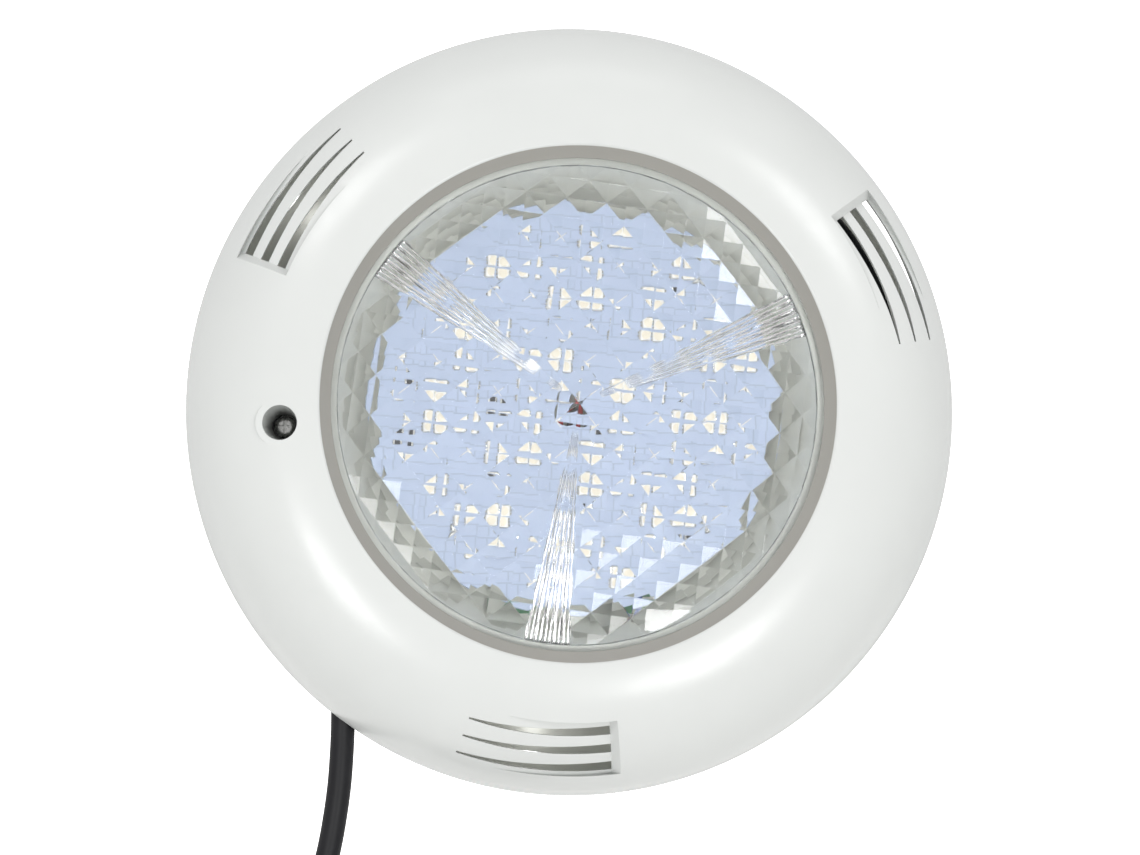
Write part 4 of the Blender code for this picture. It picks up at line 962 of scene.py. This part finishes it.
def add_lock_boss(ring):
    seat_end = LOCK_SEAT_HEIGHT - LOCK_BOSS_WALL
    top = dome_height(LOCK_RADIUS)
    place = lock_place()
    outer_top = LOCK_MOUTH_RADIUS + LOCK_BOSS_WALL
    outer_low = LOCK_SEAT_RADIUS + LOCK_BOSS_WALL
    join(ring, cylinder("boss", outer_low, seat_end, top - SEAM, place, top_radius=outer_top))
    funnel = cylinder(
        "funnel", LOCK_SEAT_RADIUS, LOCK_SEAT_HEIGHT, top + SEAM, place, top_radius=LOCK_MOUTH_RADIUS
    )
    cut(ring, funnel)
    cut(ring, cylinder("bore", LOCK_SCREW_RADIUS + GAP, seat_end - 0.001, LOCK_SEAT_HEIGHT + SEAM, place))


def add_clip_posts(ring):
    low = FLANGE_UNDERSIDE + COLLAR_BELOW_FLANGE
    top = dome_height(CLIP_SCREW_PITCH_RADIUS) - SEAM
    for angle in CLIP_ANGLES:
        place = polar(CLIP_SCREW_PITCH_RADIUS, angle)
        join(ring, cylinder("post", CLIP_POST_RADIUS, low, top, place, SMALL_STEPS))
        depth = FLANGE_UNDERSIDE + CLIP_SCREW_LENGTH
        cut(ring, cylinder("post_bore", CLIP_SCREW_RADIUS + GAP, low - SEAM, depth, place, SMALL_STEPS))


def add_cable_notch(ring):
    crossing = min(CABLE_ROUTE, key=lambda p: abs(hypot(p[0], p[2]) - RIM_RADIUS))
    top = -crossing[1] + CABLE_RADIUS + NOTCH_CLEARANCE
    cutter = box("notch", (NOTCH_WIDTH, 0.040, top + 0.011), (crossing[0], crossing[2], (top - 0.011) / 2))
    cut(ring, rounded(cutter, 0.0024, 4))


def make_face_ring():
    ring = turned("vented_face_ring", ring_section(), LARGE_STEPS)
    add_lock_boss(ring)
    add_clip_posts(ring)
    for group in range(VENT_GROUPS):
        add_vent_group(ring, group)
    add_cable_notch(ring)
    piece(ring, "lamp", [white_abs, bevel_painted_shade], ["face_ring"])
    # Faces of the opening's inner bevel take the second material, the painted shade grey
    for face in ring.data.polygons:
        radius = hypot(face.center.x, face.center.z)
        inside = LENS_RADIUS - GAP < radius < OPENING_RADIUS + 0.0002
        face.material_index = 1 if inside and -face.center.y > LENS_TOP else 0


# ---------------------------------------------------------------- lens


def crown_height(radius):
    return LENS_CROWN * (1 - (radius / (LENS_RADIUS - 2 * GAP)) ** 2)


def prism_base(radius):
    return LENS_TOP - LENS_THICKNESS + LENS_CROWN * (1 - (radius / LENS_INNER_EDGE) ** 2)


def prism_void():
    """The space under the prisms: a block whose top is a square lattice of pits, pointing up at corners."""
    count = ceil(LENS_RADIUS * 1.1 / PRISM_SIDE) * 2 + 2
    shape = bmesh.new()
    turn = Matrix.Rotation(radians(PRISM_TURN), 3, "Z")
    low = LENS_TOP - 0.020

    def lattice(i, j, drop):
        point = turn @ Vector(((i - count / 2) * PRISM_SIDE, (j - count / 2) * PRISM_SIDE, 0))
        radius = point.xy.length
        point.z = prism_base(min(radius, LENS_RADIUS)) - drop
        return point

    corners = [[shape.verts.new(lattice(i, j, 0.0)) for j in range(count + 1)] for i in range(count + 1)]
    for i in range(count):
        for j in range(count):
            apex = shape.verts.new(lattice(i + 0.5, j + 0.5, PRISM_HEIGHT))
            ring = (corners[i][j], corners[i + 1][j], corners[i + 1][j + 1], corners[i][j + 1])
            for a, b in zip(ring, ring[1:] + ring[:1]):
                shape.faces.new((a, b, apex))
    border = [corners[i][0] for i in range(count)]
    border += [corners[count][j] for j in range(count)]
    border += [corners[i][count] for i in range(count, 0, -1)]
    border += [corners[0][j] for j in range(count, 0, -1)]
    base = [shape.verts.new((v.co.x, v.co.y, low)) for v in border]
    for k in range(len(border)):
        n = (k + 1) % len(border)
        shape.faces.new((border[k], border[n], base[n], base[k]))
    shape.faces.new(base)
    return new_object("prism_void", shape)


def rib_section(radius, angle):
    """One cross-section of a fluted rib: flat on top, inside the lens, and fluted below."""
    half = RIB_HALF_ANGLE
    base = prism_base(radius)
    count = RIB_FLUTES * 8
    share = min(1.0, 0.35 + 0.65 * radius / LENS_INNER_EDGE)
    below = []
    for i in range(count + 1):
        across = -1 + 2 * i / count
        wave = abs(sin(pi * RIB_FLUTES * (across + 1) / 2))
        depth = RIB_HEIGHT * share - FLUTE_DEPTH * share * (1 - wave)
        below.append(polar(radius, angle + half * across, base - depth))
    above = [polar(radius, angle + half * (1 - 2 * i / count), base + 0.0012) for i in range(count + 1)]
    return below + above


def make_lens():
    edge = LENS_RADIUS - 2 * GAP
    top = [(edge * i / 24, LENS_TOP + crown_height(edge * i / 24)) for i in range(25)]
    profile = [
        *top,
        (FLANGE_RADIUS, LENS_TOP),
        (FLANGE_RADIUS, LENS_UNDERSIDE),
        (LENS_INNER_EDGE, LENS_UNDERSIDE),
        (LENS_INNER_EDGE, LENS_TOP - 0.015),
        (0, LENS_TOP - 0.015),
    ]
    lens = turned("prism_lens", profile, LARGE_STEPS)
    cut(lens, prism_void())
    for angle in RIB_ANGLES:
        steps = 14
        radii = [RIB_START + (LENS_INNER_EDGE - GAP - RIB_START) * i / steps for i in range(steps + 1)]
        join(lens, loft("rib", [rib_section(radius, angle) for radius in radii]))
    seat = LENS_TOP - LENS_HEAD_DEPTH - GAP
    hole, head = LENS_SCREW_RADIUS + GAP, LENS_HEAD_RADIUS + GAP
    low, high = LENS_UNDERSIDE - 0.001, LENS_TOP + 0.001
    drill = [(0, high), (head, high), (head, seat), (hole, seat), (hole, low), (0, low)]
    for i in range(LENS_SCREWS):
        place = polar(LENS_SCREW_PITCH_RADIUS, 360 / LENS_SCREWS * i)
        cut(lens, turned("lens_hole", drill, SMALL_STEPS, place))
    piece(lens, "lamp", clear_pc, ["lens"], sharp=11.0)


# ---------------------------------------------------------------- housing


def housing_profile():
    base = WALL_OUTER - HOUSING_TAPER
    recess = PILOT_RADIUS + 0.0006
    edge = arc((base - HOUSING_EDGE, HOUSING_HEIGHT + HOUSING_EDGE), HOUSING_EDGE, 0.0, -90.0, 10)
    return [
        (0, FLANGE_TOP),
        (FLANGE_RADIUS, FLANGE_TOP),
        (FLANGE_RADIUS, FLANGE_UNDERSIDE),
        (WALL_OUTER + 0.0008, FLANGE_UNDERSIDE),
        (WALL_OUTER, FLANGE_UNDERSIDE - 0.0010),
        *edge,
        (recess, HOUSING_HEIGHT),
        (recess, RECESS_HEIGHT),
        (0, RECESS_HEIGHT),
    ]


def cavity_profile():
    mouth = WALL_OUTER - 0.0016
    base = WALL_OUTER - HOUSING_TAPER - HOUSING_WALL
    bump_radius = PILOT_RADIUS + 0.0006 + HOUSING_WALL
    return [
        (0, FLANGE_TOP + 0.001),
        (mouth, FLANGE_TOP + 0.001),
        (mouth, FLANGE_TOP - 0.001),
        (base + 0.0005, BOARD_HEIGHT),
        (base, HOUSING_FLOOR + 0.003),
        (base - 0.003, HOUSING_FLOOR),
        (bump_radius, HOUSING_FLOOR),
        (bump_radius, RECESS_HEIGHT + HOUSING_BACK),
        (0, RECESS_HEIGHT + HOUSING_BACK),
    ]


def gland_matrix():
    """Turns the gland's own frame, whose Z runs out along it, into the front frame."""
    away = polar(1.0, GLAND_ANGLE)
    along = polar(1.0, GLAND_ANGLE + 90)
    axes = Matrix((away, along.cross(away), along)).transposed().to_4x4()
    return Matrix.Translation(polar(GLAND_OFFSET, GLAND_ANGLE, GLAND_HEIGHT)) @ axes


def lens_screw_places():
    return [polar(LENS_SCREW_PITCH_RADIUS, 360 / LENS_SCREWS * i) for i in range(LENS_SCREWS)]


def board_screw_places():
    return [polar(BOARD_SCREW_PITCH_RADIUS, 45 + 90 * i) for i in range(4)]


def make_housing():
    housing = turned("housing_shell", housing_profile(), LARGE_STEPS)
    matrix = gland_matrix()
    start = GLAND_THREAD_LENGTH - GLAND_BOSS_LENGTH
    join(housing, moved(cylinder("gland_boss", GLAND_BOSS_RADIUS, start, GLAND_THREAD_LENGTH), matrix))
    reach = GLAND_OFFSET - WALL_OUTER + 2 * HOUSING_WALL
    size = (reach, GLAND_WEB_WIDTH, GLAND_BOSS_LENGTH - 2 * SEAM)
    centre = (-reach / 2, 0, GLAND_THREAD_LENGTH - GLAND_BOSS_LENGTH / 2)
    join(housing, moved(box("gland_web", size, centre), matrix))
    for place in lens_screw_places():
        low = FLANGE_UNDERSIDE - SCREW_BOSS_DEPTH
        join(housing, cylinder("boss", SCREW_BOSS_RADIUS, low, FLANGE_UNDERSIDE + SEAM, place, SMALL_STEPS))
    cut(housing, turned("cavity", cavity_profile(), LARGE_STEPS))
    bore = GLAND_THREAD_RADIUS + GAP
    cut(housing, moved(cylinder("bore", bore, -GLAND_THREAD_LENGTH, GLAND_THREAD_LENGTH + 0.001), matrix))
    reach = GLAND_OFFSET - WALL_OUTER + 2.5 * HOUSING_WALL
    across = Matrix.Translation((0, 0, PASSAGE_RADIUS + GAP - GLAND_THREAD_LENGTH))
    across = across @ Matrix.Rotation(-pi / 2, 4, "Y")
    cut(housing, moved(cylinder("passage", PASSAGE_RADIUS, 0, reach), matrix @ across))
    for place in board_screw_places():
        low, high = HOUSING_FLOOR - SEAM, SPREADER_UNDERSIDE - GAP
        join(housing, cylinder("standoff", STANDOFF_RADIUS, low, high, place, SMALL_STEPS))
        bottom = BOARD_TOP - BOARD_SCREW_LENGTH - SEAM
        cut(housing, cylinder("hole", BOARD_SCREW_RADIUS + GAP, bottom, high + SEAM, place, SMALL_STEPS))
    low = LENS_TOP - LENS_HEAD_DEPTH - LENS_SCREW_LENGTH - 2 * GAP
    for place in lens_screw_places():
        cut(housing, cylinder("bore", LENS_SCREW_RADIUS + GAP, low, FLANGE_TOP + SEAM, place, SMALL_STEPS))
    piece(housing, "lamp", inner_abs, ["lamp_housing"])


# ---------------------------------------------------------------- light engine


def make_board():
    profile = [
        (LEAD_HOLE_RADIUS, BOARD_TOP),
        (BOARD_RADIUS - 0.0002, BOARD_TOP),
        (BOARD_RADIUS, BOARD_TOP - 0.0002),
        (BOARD_RADIUS, BOARD_HEIGHT),
        (LEAD_HOLE_RADIUS, BOARD_HEIGHT),
    ]
    board = turned("led_circuit_board", profile, LARGE_STEPS)
    for place in board_screw_places():
        hole = BOARD_SCREW_RADIUS + GAP
        cut(board, cylinder("hole", hole, BOARD_HEIGHT - SEAM, BOARD_TOP + SEAM, place, SMALL_STEPS))
    piece(board, "lamp", solder_mask, ["led_board"])


def led_places():
    """A square grid over the board, clear of its edge, its screws and the lead hole."""
    count = int(LED_FIELD_RADIUS / LED_PITCH) + 1
    places = []
    for i in range(-count, count + 1):
        for j in range(-count, count + 1):
            place = Vector(((i + 0.5) * LED_PITCH, (j + 0.5) * LED_PITCH, BOARD_TOP))
            clear = all((place.xy - screw.xy).length > 0.0065 for screw in board_screw_places())
            if clear and LEAD_HOLE_RADIUS + 0.003 < place.xy.length < LED_FIELD_RADIUS - LED_SIZE / 2:
                places.append(place)
    return places


def add_block(shape, place, size, material_index, taper=1.0):
    """A small block standing on the board, with its top drawn in by the taper."""
    made = bmesh.ops.create_cube(shape, size=1.0)["verts"]
    for vert in made:
        pull = taper if vert.co.z > 0 else 1.0
        x, y = vert.co.x * size[0] * pull, vert.co.y * size[1] * pull
        vert.co = Vector((x, y, (vert.co.z + 0.5) * size[2])) + place
    for face in {face for vert in made for face in vert.link_faces}:
        face.material_index = material_index


def add_dome(shape, place, radius, height, material_index, steps=20):
    """The shallow round lens of phosphor in a package."""
    rows = []
    for share, lift in ((1.0, -0.0004), (1.0, 0.0), (0.75, 0.6), (0.4, 0.92)):
        level = lift * height if lift > 0 else lift
        ring = []
        for k in range(steps):
            angle = 2 * pi * k / steps
            offset = Vector((radius * share * cos(angle), radius * share * sin(angle), level))
            ring.append(shape.verts.new(place + offset))
        rows.append(ring)
    faces = []
    for first, second in zip(rows, rows[1:]):
        for k in range(steps):
            n = (k + 1) % steps
            faces.append(shape.faces.new((first[k], first[n], second[n], second[k])))
    faces.append(shape.faces.new(rows[-1]))
    faces.append(shape.faces.new(rows[0][::-1]))
    for face in faces:
        face.material_index = material_index


def make_leds():
    """White surface-mount packages, each with a cream phosphor lens and silver feet."""
    shape = bmesh.new()
    for place in led_places():
        lifted = place + Vector((0, 0, 0.00005))
        for side in (-1, 1):
            for k in (-1, 0, 1):
                foot = lifted + Vector((side * LED_SIZE * 0.5, k * 0.0011, 0))
                add_block(shape, foot, (0.0010, 0.0007, 0.0003), 2)
        add_block(shape, lifted, (LED_SIZE, LED_SIZE * 0.94, LED_HEIGHT), 0, 0.93)
        add_dome(shape, lifted + Vector((0, 0, LED_HEIGHT)), 0.38 * LED_SIZE, 0.0003, 1)
    leds = new_object("led_packages", shape)
    piece(leds, "lamp", [led_white, phosphor, tinned])


def make_resistors():
    """Small black chips with silver ends between the rows of packages."""
    shape = bmesh.new()
    places = [place for place in led_places() if (round(place.x / LED_PITCH - 0.5) % 3) == 0]
    for place in places[::2]:
        middle = place + Vector((0, LED_PITCH / 2, 0.00005))
        if middle.xy.length > LED_FIELD_RADIUS:
            continue
        add_block(shape, middle, (0.0020, 0.0016, 0.0006), 0, 0.98)
        for side in (-1, 1):
            add_block(shape, middle + Vector((side * 0.0013, 0, 0)), (0.0007, 0.0016, 0.00055), 1, 0.98)
    chips = new_object("board_resistors", shape)
    piece(chips, "lamp", [chip_black, tinned])


# ---------------------------------------------------------------- screws


def screw_body(name, head_radius, head_height, shank_radius, length, pitch=0.0007):
    """A pan-head screw: head on height 0, threaded shank below, cross recess in the head."""
    rim = head_height * 0.45
    dome = []
    for i in range(7):
        angle = i / 6 * pi / 2
        dome.append((head_radius * (0.55 + 0.45 * sin(angle)), rim + (head_height - rim) * cos(angle)))
    thread = []
    depth = min(0.12 * shank_radius, 0.0003)
    turns = int((length * 0.75) / pitch)
    top = -length * 0.22
    for i in range(turns):
        z = top - i * pitch
        if z < -length + shank_radius:
            break
        thread += [(shank_radius, z), (shank_radius - depth, z - pitch * 0.5)]
    tip = 0.6 * shank_radius
    profile = [
        (0, head_height), *dome, (head_radius, 0), (shank_radius, 0),
        *thread, (shank_radius - tip * 0.5, -length + tip * 0.4), (shank_radius - tip, -length), (0, -length),
    ]
    screw = turned(name, profile, SMALL_STEPS)
    for size in ((1.15, 0.24), (0.24, 1.15)):
        arm = box("recess", (size[0] * head_radius, size[1] * head_radius, 1.1 * head_height), (0, 0, head_height))
        cut(screw, arm)
    return screw


def make_screws():
    for i, place in enumerate(lens_screw_places()):
        screw = screw_body(
            f"lens_fixing_{i + 1}", LENS_HEAD_RADIUS, LENS_HEAD_DEPTH - GAP, LENS_SCREW_RADIUS, LENS_SCREW_LENGTH
        )
        place.z = LENS_TOP - LENS_HEAD_DEPTH
        moved(screw, Matrix.Translation(place) @ Matrix.Rotation(radians(25 * i), 4, "Z"))
        piece(screw, "lamp", stainless, [f"lens_screw_{i + 1}"])
    for i, place in enumerate(board_screw_places()):
        screw = screw_body(
            f"board_fixing_{i + 1}", BOARD_HEAD_RADIUS, BOARD_HEAD_HEIGHT, BOARD_SCREW_RADIUS, BOARD_SCREW_LENGTH
        )
        place.z = BOARD_TOP + GAP
        moved(screw, Matrix.Translation(place) @ Matrix.Rotation(radians(35 * i), 4, "Z"))
        piece(screw, "lamp", stainless, [f"board_screw_{i + 1}"])
    top = FLANGE_UNDERSIDE - GAP
    for i, angle in enumerate(CLIP_ANGLES):
        screw = screw_body(
            f"clip_fixing_{i + 1}", CLIP_HEAD_RADIUS, CLIP_HEAD_HEIGHT, CLIP_SCREW_RADIUS,
            CLIP_THICKNESS + CLIP_SCREW_LENGTH,
        )
        place = polar(CLIP_SCREW_PITCH_RADIUS, angle, top - CLIP_THICKNESS - GAP)
        moved(screw, Matrix.Translation(place) @ Matrix.Rotation(pi, 4, "X"))
        piece(screw, "lamp", stainless, [f"clip_screw_{i + 1}"])


def make_lock():
    seat = LOCK_SEAT_HEIGHT + GAP
    under_head = seat + LOCK_WASHER_THICKNESS + GAP
    screw = screw_body(
        "captive_lock_screw", LOCK_HEAD_RADIUS, LOCK_HEAD_HEIGHT, LOCK_SCREW_RADIUS,
        under_head - LOCK_TIP_HEIGHT, pitch=0.0010,
    )
    moved(screw, Matrix.Translation(lock_place(under_head)))
    piece(screw, "lock", stainless, ["lock_screw"])
    inner, outer = LOCK_SCREW_RADIUS + GAP, LOCK_HEAD_RADIUS
    half = LOCK_WASHER_THICKNESS / 2
    washer = turned(
        "sealing_washer",
        [(inner, seat + 2 * half), (outer - 0.0004, seat + 2 * half), (outer, seat + half),
         (outer - 0.0004, seat), (inner, seat)],
        MEDIUM_STEPS, lock_place(),
    )
    piece(washer, "lock_seal", black_rubber, ["lock_washer"])


# ---------------------------------------------------------------- bracket and clips


def sector(inner, outer, first, last, steps=40, corner=0.006):
    """An arc-shaped window with rounded corners."""
    outside, inside = [], []
    for i in range(steps + 1):
        share = i / steps
        angle = first + (last - first) * share
        from_end = min(share, 1 - share) * radians(last - first) * (inner + outer) / 2
        pull = corner - sqrt(max(0.0, corner**2 - max(0.0, corner - from_end) ** 2))
        outside.append(polar(outer - pull, angle))
        inside.append(polar(inner + pull, angle))
    return [(point.x, point.y) for point in outside + inside[::-1]]


def make_bracket():
    edge = 0.0006
    profile = [
        (0, PILOT_HEIGHT),
        (PILOT_RADIUS - 0.0010, PILOT_HEIGHT),
        (PILOT_RADIUS, PILOT_HEIGHT - 0.0010),
        (PILOT_RADIUS, HOUSING_HEIGHT - GAP),
        (SHOULDER_RADIUS - edge, HOUSING_HEIGHT - GAP),
        (SHOULDER_RADIUS, HOUSING_HEIGHT - GAP - edge),
        (SHOULDER_RADIUS, PLATE_THICKNESS + 0.0010),
        (SHOULDER_RADIUS + 0.0010, PLATE_THICKNESS),
        (BRACKET_RADIUS - edge, PLATE_THICKNESS),
        (BRACKET_RADIUS, PLATE_THICKNESS - edge),
        (BRACKET_RADIUS, edge),
        (BRACKET_RADIUS - edge, 0),
        (0, 0),
    ]
    bracket = turned("wall_plate", profile, LARGE_STEPS)
    join(bracket, cylinder("boss", BRACKET_BOSS_RADIUS, PLATE_THICKNESS - SEAM, BRACKET_BOSS_HEIGHT, lock_place()))
    for first, last in WINDOWS:
        cut(bracket, prism("window", sector(WINDOW_INNER, WINDOW_OUTER, first, last), -0.001, 0.0045))
    sink = COUNTERSINK_RADIUS - WALL_HOLE_RADIUS
    hole = [
        (0, PLATE_THICKNESS + 0.001),
        (COUNTERSINK_RADIUS, PLATE_THICKNESS + 0.001),
        (COUNTERSINK_RADIUS, PLATE_THICKNESS),
        (WALL_HOLE_RADIUS, PLATE_THICKNESS - sink),
        (WALL_HOLE_RADIUS, -0.001),
        (0, -0.001),
    ]
    for i in range(WALL_HOLES):
        place = polar(WALL_HOLE_PITCH_RADIUS, 45 + 360 / WALL_HOLES * i)
        cut(bracket, turned("wall_hole", hole, SMALL_STEPS, place))
    top = BRACKET_BOSS_HEIGHT + 0.001
    cut(bracket, cylinder("insert_pocket", INSERT_RADIUS + GAP, INSERT_BASE, top, lock_place()))
    piece(bracket, "wall_mount", inner_abs, ["wall_bracket"])
    bore = LOCK_SCREW_RADIUS + GAP
    low, high = INSERT_BASE + GAP, BRACKET_BOSS_HEIGHT
    insert = turned(
        "threaded_insert",
        [(bore + 0.0004, high), (INSERT_RADIUS - 0.0003, high), (INSERT_RADIUS, high - 0.0003),
         (INSERT_RADIUS, low), (bore, low), (bore, high - 0.0004)],
        MEDIUM_STEPS, lock_place(),
    )
    piece(insert, "wall_mount", brass_metal, ["lock_insert"])


def make_retaining_clips():
    top = FLANGE_UNDERSIDE - GAP
    inner = FLANGE_RADIUS - CLIP_BITE
    outer = CLIP_SCREW_PITCH_RADIUS + CLIP_POST_RADIUS
    for i, angle in enumerate(CLIP_ANGLES):
        clip = box(f"hold_down_{i + 1}", (outer - inner, CLIP_WIDTH, CLIP_THICKNESS))
        rounded(clip, 0.0006, 3)
        cut(clip, cylinder("clip_hole", CLIP_SCREW_RADIUS + GAP, -0.01, 0.01, ((outer - inner) / 2 - CLIP_POST_RADIUS, 0, 0)))
        place = polar((inner + outer) / 2, angle, top - CLIP_THICKNESS / 2)
        moved(clip, Matrix.Translation(place) @ Matrix.Rotation(radians(angle), 4, "Z"))
        piece(clip, "lamp", inner_abs, [f"retaining_clip_{i + 1}"])


def make_cable_clips():
    """Saddles that stand out from the housing wall and hold the cable behind the face ring."""
    path = [Vector((p.x, p.z, -p.y)) for p in smooth_path(CABLE_ROUTE, 0.003)]
    for i, angle in enumerate(CABLE_CLIP_ANGLES):
        ray = polar(1.0, angle)
        nearest = max(range(len(path)), key=lambda n: path[n].xy.normalized().dot(ray.xy))
        centre = path[nearest]
        along = path[nearest + 1] - path[nearest - 1]
        turn = atan2(along.x, -along.y)
        outer = CABLE_RADIUS + CLIP_FIT + CABLE_CLIP_WALL
        half = CABLE_CLIP_WIDTH / 2
        lay = Matrix.Translation(centre) @ Matrix.Rotation(turn, 4, "Z") @ Matrix.Rotation(pi / 2, 4, "X")
        clip = moved(cylinder(f"cable_saddle_{i + 1}", outer, -half, half), lay)
        wall = WALL_OUTER + GAP
        stem_length = centre.xy.length - wall - CABLE_RADIUS
        stem_centre = ray * (wall + stem_length / 2) + Vector((0, 0, centre.z))
        stem = box("stem", (stem_length, CABLE_CLIP_WIDTH, 2 * CABLE_CLIP_WALL), stem_centre)
        stem.data.transform(Matrix.Translation(-stem_centre))
        stem.data.transform(Matrix.Translation(stem_centre) @ Matrix.Rotation(radians(angle), 4, "Z"))
        join(clip, stem)
        cut(clip, moved(cylinder("bore", CABLE_RADIUS + CLIP_FIT, -2 * half, 2 * half), lay))
        mouth_centre = centre - Vector((0, 0, CABLE_RADIUS + outer / 2))
        mouth = box("mouth", (1.2 * CABLE_RADIUS, 4 * half, outer))
        cut(clip, moved(mouth, Matrix.Translation(mouth_centre) @ Matrix.Rotation(turn, 4, "Z")))
        piece(clip, "lamp", inner_abs, [f"cable_clip_{i + 1}"])


def make_gland():
    bore = CABLE_RADIUS + GAP
    matrix = gland_matrix()
    body = turned(
        "gland_hex_body",
        [(bore, NOSE_END), (GLAND_NOSE_RADIUS, NOSE_END), (GLAND_NOSE_RADIUS, HEX_END - SEAM),
         (GLAND_THREAD_RADIUS, HEX_END - SEAM), (GLAND_THREAD_RADIUS, 0), (bore, 0)],
    )
    inside = (bore + GLAND_THREAD_RADIUS) / 2
    hexagon = turned(
        "hexagon", [(inside, HEX_END), (GLAND_HEX_RADIUS, HEX_END), (GLAND_HEX_RADIUS, HEX_START), (inside, HEX_START)], 6
    )
    rounded(hexagon, 0.0004, 2)
    join(body, hexagon)
    piece(moved(body, matrix), "lamp", gland_nylon, ["gland_body"])
    nut_bore = GLAND_NOSE_RADIUS + GAP
    seal_end = NOSE_END + GAP + GLAND_SEAL_LENGTH
    low = HEX_END + GAP
    nut = turned(
        "gland_dome_nut",
        [
            (bore, NUT_END),
            (GLAND_NUT_RADIUS - 0.0034, NUT_END),
            *arc((GLAND_NUT_RADIUS - 0.0040, NUT_END - 0.0044), 0.0040, 78.0, 0.0, 8),
            (GLAND_NUT_RADIUS, low + 0.0004),
            (GLAND_NUT_RADIUS - 0.0004, low),
            (nut_bore, low),
            (nut_bore, seal_end + GAP),
            (bore, seal_end + GAP),
        ],
        96,
    )
    for i in range(NUT_GROOVES):
        place = polar(GLAND_NUT_RADIUS + 0.0003, 360 / NUT_GROOVES * i)
        cut(nut, cylinder("groove", 0.0007, low - 0.001, NUT_END - 0.0036, place, 12))
    piece(moved(nut, matrix), "lamp", gland_nylon, ["gland_nut"])


# ---------------------------------------------------------------- assembly


def main():
    make_camera()
    make_cable()
    make_lights()
    make_stage()
    paint_cad_nodes()
    make_face_ring()
    make_lens()
    make_housing()
    make_board()
    make_leds()
    make_resistors()
    make_screws()
    make_lock()
    make_bracket()
    make_retaining_clips()
    make_cable_clips()
    make_gland()


main()
